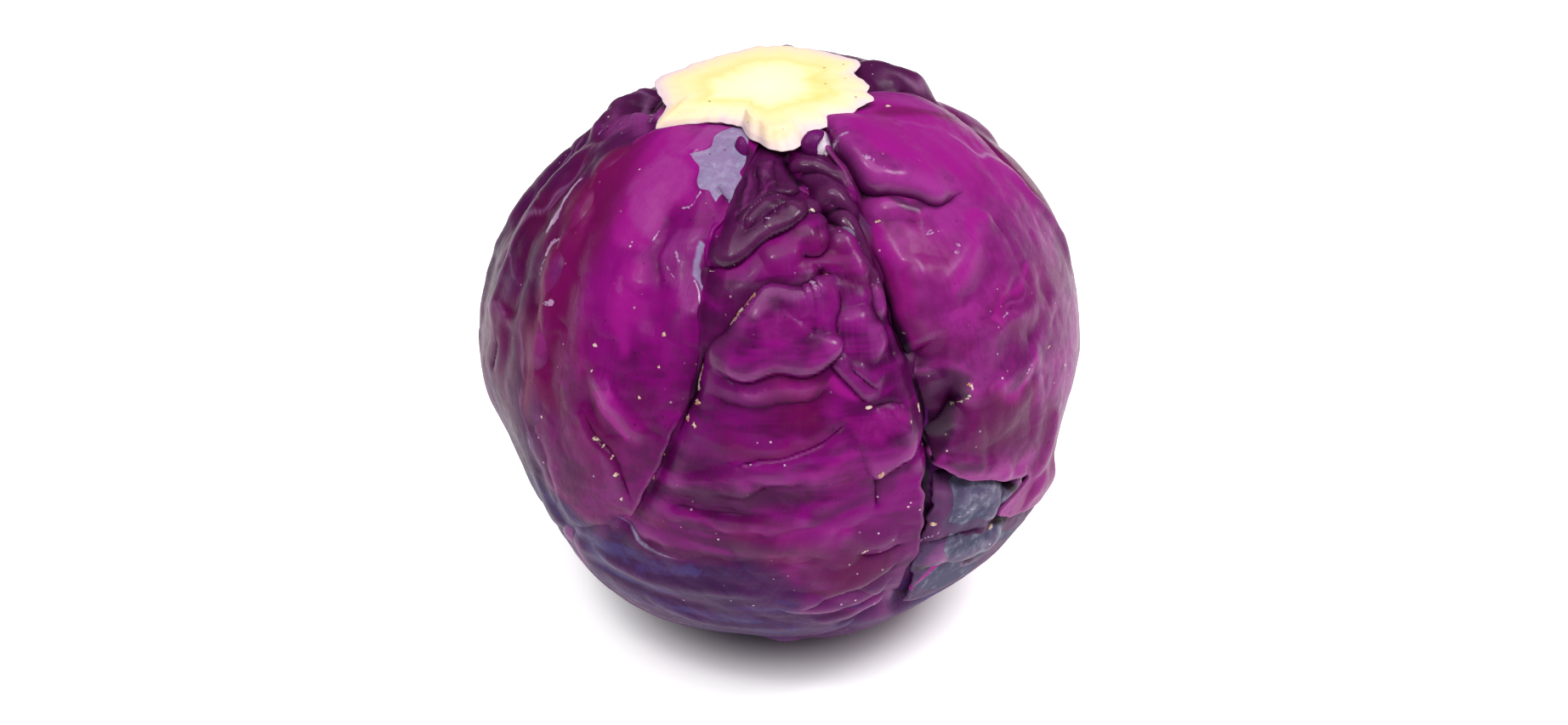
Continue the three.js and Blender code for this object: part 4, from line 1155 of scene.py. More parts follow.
front_marks = blue_zone + stripes("shade_and_dark_tone", [
    ([(29, 33), (27.4, 40), (27, 47), (27, 54), (27, 60), (29, 70), (28, 80)], 3.4, 0.9),
    ([(4, 41), (-4, 45), (-12, 50), (-17, 55)], 3.6, 0.42), ([(-16, 55), (-9, 56), (-4, 58)], 2.6, 0.4),
    ([(-12, 69), (-4, 69.4), (4, 68.4)], 2.4, 0.55), ([(-13, 79), (-6, 80.6), (0, 79.6)], 2.2, 0.5),
    ([(-18, 87), (-6, 87), (6, 85)], 3.4, 0.75), ([(4, 92), (10, 88), (18, 84), (24, 86)], 3.4, 0.6),
    ([(-10, 59.6), (0, 60), (9, 58)], 1.2, 0.5), ([(12, 112), (18, 106), (24, 100), (26, 92)], 2.0, 0.7),
    ([(-14, 97), (-4, 95.6), (6, 96.6)], 2.6, 0.5), ([(-28, 85), (-18, 86), (-6, 84.6)], 2.0, 0.5),
]) + patches("shade_and_dark_tone", [
    ([(-22, 14), (2, 14), (4, 22), (6, 27), (8, 31), (4, 35), (-4, 39), (-14, 43), (-20, 44),
      (-19, 32)], 1.6, 0.82),
    ([(8, 14), (30, 18), (30, 34), (26, 46), (27, 57), (23, 54), (21, 42), (14, 33), (9, 27)], 1.6, 0.8),
    ([(6, 15), (22, 17), (30, 24), (27, 31), (21, 33), (14, 31), (8, 26)], 1.2, 0.8),
    ([(-19, 46), (-10, 44), (-2, 40), (4, 41), (0, 45), (-8, 49), (-18, 53)], 2.2, 0.5),
    ([(-19, 56), (-8, 62), (-6, 70), (-14, 74), (-20, 70)], 2.4, 0.55),
    ([(-30, 92), (-18, 90), (-8, 94), (-10, 101), (-24, 102), (-34, 98)], 3.0, 0.36),
    ([(-20, 52), (-9, 54), (-8, 61), (-12, 65), (-19, 65)], 2.0, 0.6),
    ([(-21, 69), (-13, 70), (-8, 73), (-10, 79), (-23, 80)], 2.0, 0.55),
    ([(-20, 58), (-10, 60.6), (0, 62), (3, 69), (0, 76), (-14, 78), (-22, 74)], 2.6, 0.42),
    ([(4, 97), (14, 94), (29, 90), (30, 108), (20, 112), (2, 109)], 3.0, 0.56),
    ([(-18, 54), (-10, 48), (2, 41), (12, 40), (20, 44), (23, 52), (18, 58), (12, 50), (2, 47),
      (-8, 52), (-15, 60)], 2.4, 0.34),
]) + spots("shade_and_dark_tone", [
    ((10, 40), 5, 0.45), ((8.6, 33), 4.4, 0.8), ((17, 36), 4.0, 0.9), ((-23, 92), 7, 0.4),
    ((-12, 56), 4.4, 0.6), ((-12, 63), 4, 0.5), ((-14, 70), 5, 0.4), ((14, 101), 5, 0.5),
    ((-20, 95), 6, 0.5), ((-8, 91), 5, 0.35),
]) + patches("slit_shadow", [
    ([(12.6, 31.6), (15, 33), (17.6, 35.4), (18.6, 37.6), (16.6, 38), (14.4, 36.2), (13, 34)], 0.5, 1.0),
]) + stripes("slit_shadow", [
    ([(3, 18), (3.8, 21), (4.8, 24.4), (7.6, 27.4)], 1.5, 1.0),
    ([(8, 23.4), (13, 24.6), (20, 26.8), (26, 30)], 0.7, 0.7),
    ([(8.6, 28), (12, 31), (17.5, 33.8), (24, 34.4)], 0.8, 0.7),
    ([(-16, 24), (-13.4, 30), (-12.6, 36)], 0.7, 0.5), ([(-9, 21), (-8.4, 27), (-8, 32)], 0.7, 0.55),
    ([(-2.4, 20), (-1.6, 25), (-0.4, 29.4)], 0.7, 0.55),
    ([(1, 30), (-4.5, 31.6), (-10.5, 34.2), (-13.6, 37)], 0.7, 0.5),
    ([(3, 31), (-2.5, 33), (-7.4, 36), (-9.6, 39)], 0.6, 0.5),
    ([(27.6, 66), (28.4, 70), (28.4, 74), (27.8, 78), (27.6, 82)], 1.1, 0.9),
    ([(-14.6, 59.4), (-16.5, 62), (-17, 66), (-17, 69), (-19, 72.5)], 0.8, 0.8),
]) + stripes("sheen", [
    ([(-12, 22), (-10.8, 28), (-10, 33)], 1.0, 0.45), ([(-5.6, 20), (-5, 26), (-3.6, 30)], 1.0, 0.45),
    ([(1, 28.6), (-4.5, 30), (-10.5, 32.4), (-14.5, 35)], 0.8, 0.55),
    ([(3, 32.2), (-2, 34.8), (-6, 38.4)], 0.8, 0.45),
    ([(-16.6, 41), (-10, 39), (-4, 36.6), (2, 33.8)], 1.1, 0.4),
    ([(14, 25.4), (18, 27), (22, 29)], 1.6, 0.34), ([(13, 19.8), (20, 21), (26, 23.6)], 0.8, 0.34),
    ([(-14, 51), (-8, 47), (-2, 44)], 1.0, 0.4), ([(-1, 45), (4, 43.6)], 1.4, 0.3),
    ([(-9, 64.4), (-6, 65.2), (-1, 65)], 0.6, 0.5), ([(-3, 51), (1, 50), (6, 51)], 1.0, 0.4),
]) + patches("sheen", [
    ([(-16, 26), (-2, 22), (4, 30), (-2, 37), (-12, 42), (-18, 42)], 3.0, 0.22),
    ([(0, 48), (16, 45), (24, 44), (25.4, 54), (23, 62), (16, 62), (8, 57), (0, 53)], 2.6, 0.36),
]) + patches("rosy_and_highlight", [
    ([(12, 71), (17, 70), (21, 71.6), (22, 75), (17, 78), (12, 76)], 2.6, 0.56),
    ([(-5, 51.6), (4, 50), (10, 53), (9, 57), (-3, 59)], 2.6, 0.5),
]) + spots("sheen", [
    ((17, 73), 3.8, 0.42), ((19.6, 72), 2.0, 0.4),
]) + spots("fleck", [
    ((-15.4, 70.4), 0.5, 1.3), ((-16.6, 73), 0.55, 1.3), ((-15, 73.6), 0.4, 1.3),
    ((-15.4, 69.8), 0.6, 1.3), ((-19, 72), 0.6, 1.3), ((16.4, 69.6), 0.55, 1.4), ((18, 81.6), 0.5, 1.4),
    ((23.4, 73.4), 0.35, 1.4), ((9.4, 33.4), 0.4, 1.4), ((27.6, 79), 0.35, 1.4), ((12.6, 101), 0.3, 1.3),
    ((28.6, 95.6), 0.4, 1.4), ((28.4, 92), 0.3, 1.4), ((23.6, 90.6), 0.3, 1.4),
]) + spots("rosy_and_highlight", [
    ((1, 64.5), 4, 0.5), ((11, 50), 4, 0.5), ((20, 72.5), 3.0, 0.6), ((0, 43), 5, 0.4),
    ((-2, 51), 3, 0.5),
]) + patches("ink", [
    ([(2, 108), (14, 108), (28, 104), (30, 122), (0, 122)], 3.0, 0.5),
]) + spots("ruddy", [
    ((4, 68), 9, 0.7), ((14, 104), 8, 0.8),
]) + stripes("ruddy", [
    ([(-14, 74), (0, 76), (8, 73)], 3.0, 0.6), ([(2, 108), (10, 108), (18, 105), (24, 101)], 2.6, 0.8),
]) + stripes("rosy_and_highlight", [
    # The first three of these stripes are painted highlights along lit ridges
    ([(-10, 65), (0, 65.8), (8, 63.6)], 1.6, 0.6), ([(-2, 82), (6, 80), (14, 77)], 2.0, 0.5),
    ([(10, 62), (13, 65), (16, 67)], 1.6, 0.8),
    ([(-20, 91), (-10, 92), (2, 93), (10, 93), (16, 98)], 2.0, 0.45),
    ([(20, 111), (25, 108), (28, 110)], 2.2, 0.5),
]) + spots("shine", [
    ((-7.6, 53.4), 0.9, 0.7), ((23.6, 50), 1.6, 0.55), ((24, 53.4), 1.0, 0.5),
]) + stripes("ink", [
    ([(2, 113), (10, 112), (18, 109.6), (25, 106)], 1.6, 0.6),
]) + stripes("fleck", [
    ([(-3.4, 49.4), (-6, 51.4), (-8.2, 53.4), (-9.2, 54.8)], 0.46, 1.3),
    ([(-15.6, 60.4), (-16.4, 64.5), (-15.8, 68)], 0.5, 1.15),
    ([(-21, 79), (-23, 83), (-24.6, 86.4)], 0.5, 1.05), ([(27.6, 71.4), (27.2, 73.6)], 0.3, 1.3),
    ([(10.4, 46.6), (12.2, 46.2)], 0.5, 1.4), ([(-17.6, 45.6), (-16, 45.4)], 0.3, 1.3),
    ([(14, 99.6), (16.4, 98)], 0.4, 1.15),
]) + stripes("bloom", [
    ([(18.4, 37.4), (19.5, 38), (20.8, 39.8), (21.6, 42.4)], 0.5, 0.66),
]) + stripes("shine", [
    ([(13.8, 37.5), (13.4, 40)], 0.22, 0.9), ([(-14, 33), (-8, 34), (-3, 31.4)], 0.5, 0.7),
    ([(-6, 33.6), (-2, 33.6), (1, 30.6)], 0.4, 0.7), ([(5, 47.2), (7, 49.4)], 0.5, 0.9),
])
crumpled_skin = leaf_skin("crumpled_leaf_skin", (146, 12, 130), (114, 8, 100), (78, 6, 70),
                          (190, 120, 186), streak=0.12, banding=1.0)
front_pressed = [((-50, 112), 16, 2.4), ((-36, 130), 16, 2.4), ((0, 138), 20, 2.4), ((24, 124), 12, 2.3),
                 ((28, 110), 6, 1.2)]
front_leaf = make_leaf("front_leaf", (168, 292), front_folds, front_marks,
                       pressed=front_pressed, ripple=0.38)
fit_leaf(front_leaf, "front_leaf", crumpled_skin)


# The left leaf
# The smooth magenta leaf, with wax left in scraped patches near the stem.
left_folds = left_crack + dark_lobe + [
    ridge([(-72, 22), (-69, 34), (-65, 42), (-61.5, 50), (-57, 58), (-54.5, 66), (-53, 76), (-51.5, 86)],
          1.0, 3.4),
    valley([(-62, 36), (-57, 46), (-52, 58), (-49, 72), (-48, 86)], 1.2, 4.6),
    ridge([(-50, 30), (-46, 42), (-42.5, 52), (-40, 62)], 1.0, 5.0),
    valley([(-33, 34), (-31, 42), (-29, 52), (-27, 60)], 1.0, 4.2),
    ridge([(-37, 44), (-36, 52), (-35.6, 60)], 0.8, 3.0),
    bump((-34, 51), 0.5, 3.0),
    ridge([(-37, 67), (-34, 71), (-31, 73.5), (-28, 76), (-25, 77.4)], 1.0, 2.2),
    valley([(-40, 72), (-36, 76), (-30, 80)], 0.8, 3.0),
    lip([(-27, 91), (-29.5, 88), (-30.5, 84.6), (-32, 82.4), (-35, 81), (-38, 78.6), (-40.5, 76)],
        0.9, 2.4, 0.4),
    wrinkles((-40, 62), 0.8, 34),
    bump((-22, 37), 0.9, 6.0),
    crease([(-24, 29.6), (-21, 30.4), (-18, 32)], 0.8, 1.4),
]
left_marks = blue_zone + patches("bloom", [
    ([(-40, 12), (-22, 13), (-21, 19), (-19, 23), (-14, 25), (-12.5, 27.5), (-14.5, 30), (-15.6, 33),
      (-17.5, 30.6), (-20, 31), (-22.4, 33.4), (-25, 31), (-28.6, 30.6), (-31, 29), (-36.5, 27),
      (-41, 25.4), (-39.5, 21), (-43, 17)], 0.4, 1.0),
    ([(-23.6, 41), (-20, 41), (-19.4, 46), (-18, 49.4), (-18.2, 51.4), (-20.4, 51), (-23, 49.2),
      (-22.6, 45)], 1.6, 0.6),
]) + patches("sheen", [
    ([(-58, 14), (-40, 12), (-41, 18), (-40, 24), (-46, 24), (-56, 19)], 1.0, 0.8),
    ([(-30, 40), (-23, 39), (-19, 44), (-18, 53), (-22, 56), (-27, 52), (-30, 46)], 1.8, 0.62),
    ([(-66, 21), (-52, 16), (-42, 18.5), (-43, 23), (-40, 26), (-46, 27), (-58, 27)], 1.4, 0.5),
    ([(-58, 27), (-44, 26), (-31, 30), (-34, 36), (-36, 42), (-44, 40), (-54, 36)], 2.2, 0.62),
]) + stripes("shine", [
    ([(-26, 44), (-24.6, 47), (-23, 50)], 0.5, 0.7), ([(-28, 46), (-26.6, 49), (-24, 52)], 0.4, 0.6),
    ([(-72.5, 41), (-70.5, 46), (-68.4, 50), (-68, 54)], 0.9, 1.2),
    ([(-65, 51), (-63.6, 55), (-62.5, 59)], 0.8, 1.1),
    ([(-27.6, 31), (-29.6, 32), (-31, 34), (-33, 35.4)], 0.4, 0.9),
    ([(-35.6, 39.4), (-36.6, 42)], 0.35, 0.9), ([(-22.6, 49), (-20.6, 52), (-18.6, 52)], 0.4, 1.0),
    ([(-42.6, 22), (-40.6, 25), (-37, 26.4)], 0.35, 0.8),
]) + stripes("ruddy", [
    ([(-72, 22), (-70, 34), (-66, 42), (-62.5, 50), (-58, 60), (-55.5, 70), (-54, 80),
      (-52, 88)], 3.6, 1.0), ([(-55, 66), (-52.5, 76), (-51, 86)], 2.4, 0.8),
]) + spots("shine", [
    ((-56.6, 61.6), 0.8, 0.9),
]) + stripes("sheen", [
    ([(-70, 36), (-66, 46), (-61, 57), (-57, 68)], 0.7, 0.4), ([(-36.2, 49), (-35.8, 54)], 1.0, 0.6),
    ([(-36.6, 68.4), (-34, 71.4), (-31, 74)], 0.9, 0.55),
]) + patches("rosy_and_highlight", [
    ([(-66, 22), (-46, 17), (-36, 24), (-30, 30), (-30.5, 33), (-34, 36), (-36, 40), (-37, 44),
      (-44, 46), (-52, 42), (-62, 32)], 2.4, 0.8),
]) + patches("ink", [
    ([(-25, 30), (-28.5, 31), (-33, 35), (-33, 40), (-29, 43), (-21.5, 42.5), (-20, 37),
      (-21, 32)], 1.4, 0.2),
    ([(-52, 84), (-40, 88), (-33, 92), (-31, 100), (-44, 108), (-52, 98)], 3.0, 0.16),
]) + patches("ruddy", [
    ([(-74, 36), (-64, 30), (-52, 34), (-47, 42), (-44, 52), (-46, 62), (-46, 76), (-48, 86),
      (-53, 84), (-56, 68), (-64, 54)], 7.0, 0.74),
]) + spots("ruddy", [
    ((-46, 66), 9, 0.55),
]) + stripes("shade_and_dark_tone", [
    ([(-60, 60), (-55, 72), (-52, 84)], 1.6, 0.45), ([(-26, 66), (-24, 74), (-27, 82)], 2.6, 0.5),
    ([(-29, 82), (-27, 89)], 2.0, 0.6), ([(-27, 44), (-25, 54)], 2.0, 0.3),
    ([(-25, 54), (-22, 59), (-20, 65), (-20.6, 72)], 3.8, 0.5),
]) + spots("shade_and_dark_tone", [
    ((-44, 88), 9, 0.5), ((-28, 62), 8, 0.35), ((-21, 20), 3, 1.0), ((-24, 64), 5, 0.4),
    ((-40, 90), 8, 0.7), ((-32, 95), 6, 0.5),
]) + stripes("rosy_and_highlight", [
    # These stripes are painted highlights along the leaf's ridges
    ([(-35.6, 44), (-35, 52), (-34, 60), (-31, 66)], 3.6, 0.75),
    ([(-43, 56), (-42, 66), (-40, 74)], 3.0, 0.5), ([(-36, 70), (-32, 73.5), (-27, 77)], 1.8, 1.0),
]) + stripes("fleck", [
    ([(-36.8, 79.8), (-34.8, 81), (-32.4, 81.2)], 0.6, 1.15), ([(-31.4, 82.6), (-30, 85.2)], 0.6, 1.1),
]) + stripes("slit_shadow", [
    ([(-14.6, 59.4), (-16.5, 62), (-17, 66), (-17, 69), (-19, 72.5)], 0.8, 0.8),
]) + patches("shade_and_dark_tone", [
    ([(-52, 80), (-40, 80), (-28, 84), (-27, 91), (-33, 101), (-46, 104), (-54, 94)], 3.4, 0.42),
]) + spots("fleck", [
    ((-38, 78.6), 0.35, 1.3), ((-33.4, 82), 0.35, 1.3), ((-31.6, 84), 0.35, 1.3),
    ((-30.6, 86.6), 0.35, 1.3), ((-29.8, 90), 0.4, 1.3), ((-52.5, 83), 0.4, 1.4),
    ((-49.6, 83), 0.42, 1.4), ((-24, 58.2), 0.5, 1.3), ((-39, 64), 0.5, 1.4), ((-37.6, 68.4), 0.35, 1.3),
    ((-24.2, 63.6), 0.35, 1.3), ((-18.4, 62), 0.3, 1.3), ((-27, 70), 0.3, 1.3),
])
left_pressed = [((-17, 24), 9, 1.8), ((-18, 34), 8, 2.2), ((-18.5, 46), 9, 2.2), ((-18.5, 60), 9, 2.0),
                ((-18, 70), 6, 1.4), ((-38, 101), 10, 2.4), ((-46, 95), 8, 2.2), ((-31, 97), 4, 2.2)]
magenta_skin = leaf_skin("magenta_leaf_skin", (156, 12, 136), (128, 6, 112), (94, 4, 80), (200, 130, 194))
left_leaf = make_leaf("left_leaf", (165, 225), left_folds, left_marks, pressed=left_pressed, ripple=0.25)
fit_leaf(left_leaf, "left_leaf", magenta_skin)


# The right leaf
# The biggest leaf, rolled over at the shoulder where it leaves the stem.
right_folds = groove + [
    lip([(-140, 20), (80, 3), (41, 12), (40, 16), (35, 19), (33, 21.5), (32, 25), (32.3, 28.5),
         (34, 30.6), (37.5, 32.2), (43, 34.2), (51, 37.4), (58.5, 39.4), (64.5, 40.2)],
        2.3, 3.6, 1.0, 20.0),
    crease([(34.5, 31.2), (40, 33.2), (47, 36), (55, 38.8), (63, 40.6)], 2.4, 2.2),
    ridge([(36.6, 19.5), (34.6, 23), (34.6, 26.4), (36.6, 29), (42, 31.4), (49, 33.8)], 0.5, 1.2),
    bump((42, 19), -0.8, 2.6),
    wrinkles((56, 60), 0.7, 34),
    ridge([(29, 84.6), (36, 86), (42, 89.5), (48, 93)], 1.2, 2.4),
    ridge([(30, 34.6), (35.5, 35.4), (41, 37), (47, 39)], 1.0, 2.2),
    crease([(32, 38.6), (37, 39), (41.6, 40)], 0.6, 1.6),
    ridge([(29.6, 36), (28.8, 40), (30, 44.6), (32.6, 48)], 0.9, 2.2),
    valley([(30, 61), (33, 64), (37, 65)], 1.4, 4.0),
    valley([(26, 75), (30, 74), (34.6, 73), (38.6, 72.4)], 3.4, 4.6),
    crease([(28, 77.4), (31.4, 75.8), (35, 74), (38, 73)], 1.4, 1.4),
    ridge([(31, 82.6), (35, 81), (41, 79)], 0.6, 3.0),
    ridge([(38, 53), (46, 51), (55, 48.4), (66, 46)], 0.9, 2.8),
    valley([(40, 57), (48, 56), (56, 53.4)], 0.9, 2.6),
    ridge([(41.5, 65.6), (46.5, 64.5), (51, 63.5), (57, 64.6), (72, 69)], 0.9, 3.0),
    valley([(43, 61.6), (50, 60.4), (60, 60)], 0.9, 3.4),
    ridge([(31, 48.5), (38.5, 49), (52, 50), (68, 52.6)], 0.7, 4.0),
    ridge([(42.5, 75.5), (50.5, 74), (60, 75)], 0.7, 3.0),
    ridge([(90.5, 45), (92.5, 53), (91.5, 60)], 0.6, 1.4),
    valley([(54, 69), (62, 67), (70, 63)], 0.7, 3.0),
    ridge([(42, 74), (52, 73), (60, 71)], 0.7, 3.0),
    ridge([(40, 80), (50, 79), (58, 78)], 0.6, 3.0),
    valley([(38, 84), (48, 85), (56, 84)], 0.7, 4.0),
    ridge([(62, 86), (61, 91), (58, 96), (54, 98)], 1.4, 3.0),
    ridge([(56, 101), (61, 103), (66, 103)], 1.6, 5.0),
    ridge([(84, 40), (87, 48), (89, 56), (90, 64), (88, 74)], 1.0, 2.4),
    ridge([(44, 91.4), (48, 93.6), (52, 95.4)], 0.6, 1.2),
]
right_marks = stripes("fleck", [
    ([(38, 70.4), (39.2, 72), (38.4, 73.8), (35.4, 75.2)], 0.34, 1.25),
    ([(86, 20.6), (89, 21.2)], 0.5, 1.3), ([(62, 74), (64, 73.6)], 0.3, 1.2),
]) + spots("shade_and_dark_tone", [
    ((31, 64), 4, 0.6), ((33, 74), 4, 0.9), ((68, 74), 6, 0.35),
]) + patches("shade_and_dark_tone", [
    ([(27, 74), (39, 72), (38, 78), (36, 82), (30, 84), (27, 82)], 1.8, 0.7),
    ([(28, 76), (42, 73), (52, 80), (55, 92), (42, 90), (28, 85)], 3.4, 0.55),
    ([(36, 62), (50, 64), (56, 72), (46, 76), (36, 72)], 3.6, 0.4),
    ([(27, 64), (33, 67), (40, 70), (39, 74), (34, 76), (30, 80), (27, 80)], 1.8, 1.0),
]) + patches("slit_shadow", [
    ([(27.2, 73.6), (33, 74), (37.6, 71.6), (39.4, 73), (35.4, 77), (32, 80.6), (29.4, 84.4),
      (28, 84)], 1.4, 0.58),
]) + stripes("ruddy", [
    ([(29, 44), (31, 54), (35, 62), (40, 68)], 4.6, 0.5),
    ([(72, 16), (88, 26), (98, 40), (99, 56)], 3.4, 0.7),
]) + stripes("shade_and_dark_tone", [
    ([(30, 52), (32, 58), (35, 64), (39, 69)], 2.6, 0.5), ([(32, 56), (36, 62), (42, 67)], 4.0, 0.4),
    ([(28, 84), (33, 86), (38, 88)], 1.6, 0.8), ([(29, 85), (36, 86.6), (42, 90)], 1.8, 0.6),
    ([(33, 82), (42, 85), (52, 85)], 3.0, 0.6), ([(36, 32.6), (46, 36.2), (58, 39.8)], 1.6, 0.8),
]) + stripes("slit_shadow", [
    ([(27.8, 38), (28, 50), (28.6, 60), (28.4, 67)], 1.5, 0.8),
    ([(27.6, 66), (28.4, 70), (28.4, 74), (27.8, 78), (27.6, 82)], 1.1, 0.9),
]) + patches("ruddy", [
    ([(28, 78), (44, 75), (54, 82), (57, 94), (42, 90), (28, 85)], 3.4, 0.4),
    ([(48, 58), (70, 58), (80, 66), (62, 70), (50, 69)], 3.0, 0.4),
    ([(55, 20), (72, 17), (74, 23), (60, 26)], 2.6, 0.3),
    ([(38, 74), (46, 74), (56, 80), (54, 88), (44, 88), (34, 84), (30, 80)], 3.0, 0.6),
]) + patches("sheen", [
    ([(44, 39), (70, 42), (84, 56), (70, 58), (46, 52)], 3.4, 0.32),
    ([(62, 24), (78, 22), (93, 32), (92, 42), (76, 39), (64, 33)], 3.0, 0.3),
    ([(36, 46), (39, 41), (50, 43), (57, 50), (48, 54), (36, 52)], 2.6, 0.34),
    ([(66, 26), (84, 30), (92, 44), (90, 56), (80, 50), (70, 38)], 3.0, 0.4),
    ([(62, 84), (72, 80), (72, 96), (60, 100), (54, 94)], 2.6, 0.4),
]) + stripes("rosy_and_highlight", [
    # These stripes are painted highlights along the lit edge by the groove and along the ridges
    ([(30.4, 42), (31.4, 50), (31.4, 57), (32.4, 62)], 2.4, 0.9),
    ([(29.6, 37), (29, 42), (32, 47)], 1.6, 0.9), ([(38, 53), (54, 48.4), (66, 46)], 2.6, 0.8),
    ([(46, 64), (56, 60), (66, 57)], 2.2, 0.8), ([(44, 76), (52, 75), (58, 73)], 2.0, 0.9),
]) + stripes("sheen", [
    ([(30.4, 44), (31.2, 50), (31.4, 56)], 1.4, 0.4),
    ([(84, 38), (88, 46), (90.5, 55), (91, 66)], 1.2, 0.7),
    ([(60, 20), (74, 26), (84, 36), (88, 46), (92, 56), (91, 70)], 2.0, 0.6),
    ([(31, 48.5), (38.5, 49), (52, 50), (69.5, 53)], 1.6, 0.5),
    ([(46.5, 64.5), (51, 63.5), (57, 64), (76, 70)], 1.2, 0.5),
    ([(42.5, 75.5), (50.5, 74), (60, 75)], 1.2, 0.5), ([(55, 63), (60, 61), (64, 60)], 0.8, 0.6),
]) + patches("rosy_and_highlight", [
    ([(66, 20), (92, 30), (100, 46), (94, 60), (80, 54), (62, 44), (58, 30)], 4.0, 0.6),
    ([(38, 19), (52, 13), (90, 16), (96, 30), (84, 44), (62, 38), (46, 31), (37, 27)], 3.0, 0.8),
    ([(34, 42), (52, 41), (66, 44), (80, 50), (88, 62), (86, 80), (72, 84), (60, 74), (50, 66),
      (38, 62), (33, 52)], 4.0, 0.34),
]) + spots("shine", [
    ((92, 45.6), 0.9, 0.9),
]) + stripes("vein_and_highlight", [
    # This stripe is a painted highlight line along the right limb
    ([(80, 33), (86, 40), (90, 46), (92.5, 53), (91.5, 60)], 0.6, 0.9),
]) + stripes("shine", [
    ([(51, 63.2), (55, 63.6)], 0.5, 0.8), ([(39.5, 41), (42, 42.5), (44.5, 44)], 0.4, 1.0),
    ([(39, 48.4), (43, 48.6), (46.4, 46.8)], 1.0, 0.6), ([(50, 73.6), (54, 73.8)], 0.3, 0.9),
    ([(88.5, 45), (89.5, 48), (90.5, 51)], 0.4, 1.0), ([(84, 37), (86, 40.6)], 0.4, 0.8),
    ([(33.6, 26), (34.4, 29), (38, 31), (43, 33)], 0.5, 0.6), ([(36.4, 19.6), (34.4, 23)], 0.45, 0.7),
    ([(40, 40.6), (44, 43), (45, 46)], 0.9, 0.7), ([(46, 44), (49, 47)], 1.2, 0.55),
    ([(48, 30), (54, 31.4), (58, 33.6)], 1.3, 0.5),
]) + spots("ruddy", [
    ((46, 64), 5, 0.35),
]) + spots("fleck", [
    ((32.6, 37.6), 0.4, 1.2), ((29.2, 58.6), 0.35, 1.3), ((41, 61), 0.35, 1.3), ((68, 81), 0.35, 1.3),
])
right_pressed = [((28, 36), 7, 2.0), ((27, 46), 7, 2.1), ((27, 56), 7, 2.1), ((28.5, 66), 7, 2.0),
                 ((28.5, 76), 5, 1.2)]
wide_skin = leaf_skin("wide_leaf_skin", (178, 52, 158), (150, 38, 132), (112, 24, 100), (206, 146, 200))
right_leaf = make_leaf("right_leaf", (150, 300), right_folds, right_marks,
                       pressed=right_pressed, ripple=0.25)
fit_leaf(right_leaf, "right_leaf", wide_skin)


# The stem
# The butt was cut flat, so it shows a yellow pith, a woody ring and the ragged bases of the leaves
# that were trimmed away with it.
stem_top = 146.0
stem_offset = -4.5
core_depth = 57.0
back_trim = 1.5
merge_distance = 0.00002
# The ragged rim of the cut: degrees round from the front, mm from the middle, mm that it hangs
cut_rim = np.array([
    (-178, 26.0, 0.0), (-167, 24.7, 0.0), (-155, 23.6, 0.0), (-143, 23.2, 0.0), (-131, 23.8, 0.2),
    (-120, 24.6, 0.4), (-114, 25.9, 0.6), (-106, 27.6, 0.8), (-97, 26.0, 1.2), (-89, 24.6, 1.4),
    (-79, 24.1, 1.8), (-75, 25.2, 3.0), (-68, 28.4, 4.8), (-64, 25.0, 4.0), (-59, 21.2, 3.2),
    (-51, 17.6, 2.6), (-41, 15.4, 2.4), (-29, 14.4, 2.6), (-23, 13.9, 3.0), (-17, 15.2, 3.2),
    (-10, 18.2, 3.2), (-2, 20.5, 3.4), (4, 23.0, 3.4), (10, 24.9, 3.4), (17, 25.1, 3.4),
    (23, 23.5, 3.0), (28, 21.1, 2.0), (32, 20.1, 1.8), (41, 20.9, 2.0), (48, 21.2, 2.0),
    (55, 20.9, 1.6), (63, 23.0, 1.2), (71, 24.0, 1.0), (80, 25.3, 1.0), (84, 27.0, 1.2),
    (87, 26.7, 1.0), (92, 25.3, 0.8), (100, 26.9, 0.8), (109, 25.0, 0.6), (115, 25.0, 0.4),
    (121, 28.6, 0.4), (127, 29.2, 0.2), (134, 28.3, 0.0), (151, 27.7, 0.0), (167, 26.5, 0.0),
])
# From the middle of the cut over the rim to the foot: share of the rim, mm added, depth, share of the hang
stem_profile = np.array([
    (0.0, 0.0, 0.0, 0.0), (0.45, 0.0, 0.2, 0.0), (0.76, 0.0, 0.4, 0.1), (0.94, 0.0, 0.8, 0.7),
    (1.0, 0.0, 1.1, 1.0), (0.93, 0.0, 1.9, 1.0), (0.74, 0.0, 3.4, 0.5), (0.0, 13.0, 6.5, 0.0),
    (0.0, 12.5, 14.0, 0.0), (0.0, 11.5, 28.0, 0.0), (0.0, 10.0, 42.0, 0.0), (0.0, 8.0, 50.0, 0.0),
    (0.0, 4.5, 55.0, 0.0), (0.0, 0.0, 57.0, 0.0),
])
profile_places = np.array([0.0, 0.18, 0.34, 0.44, 0.5, 0.56, 0.62, 0.68, 0.74, 0.8, 0.86, 0.91, 0.96, 1.0])


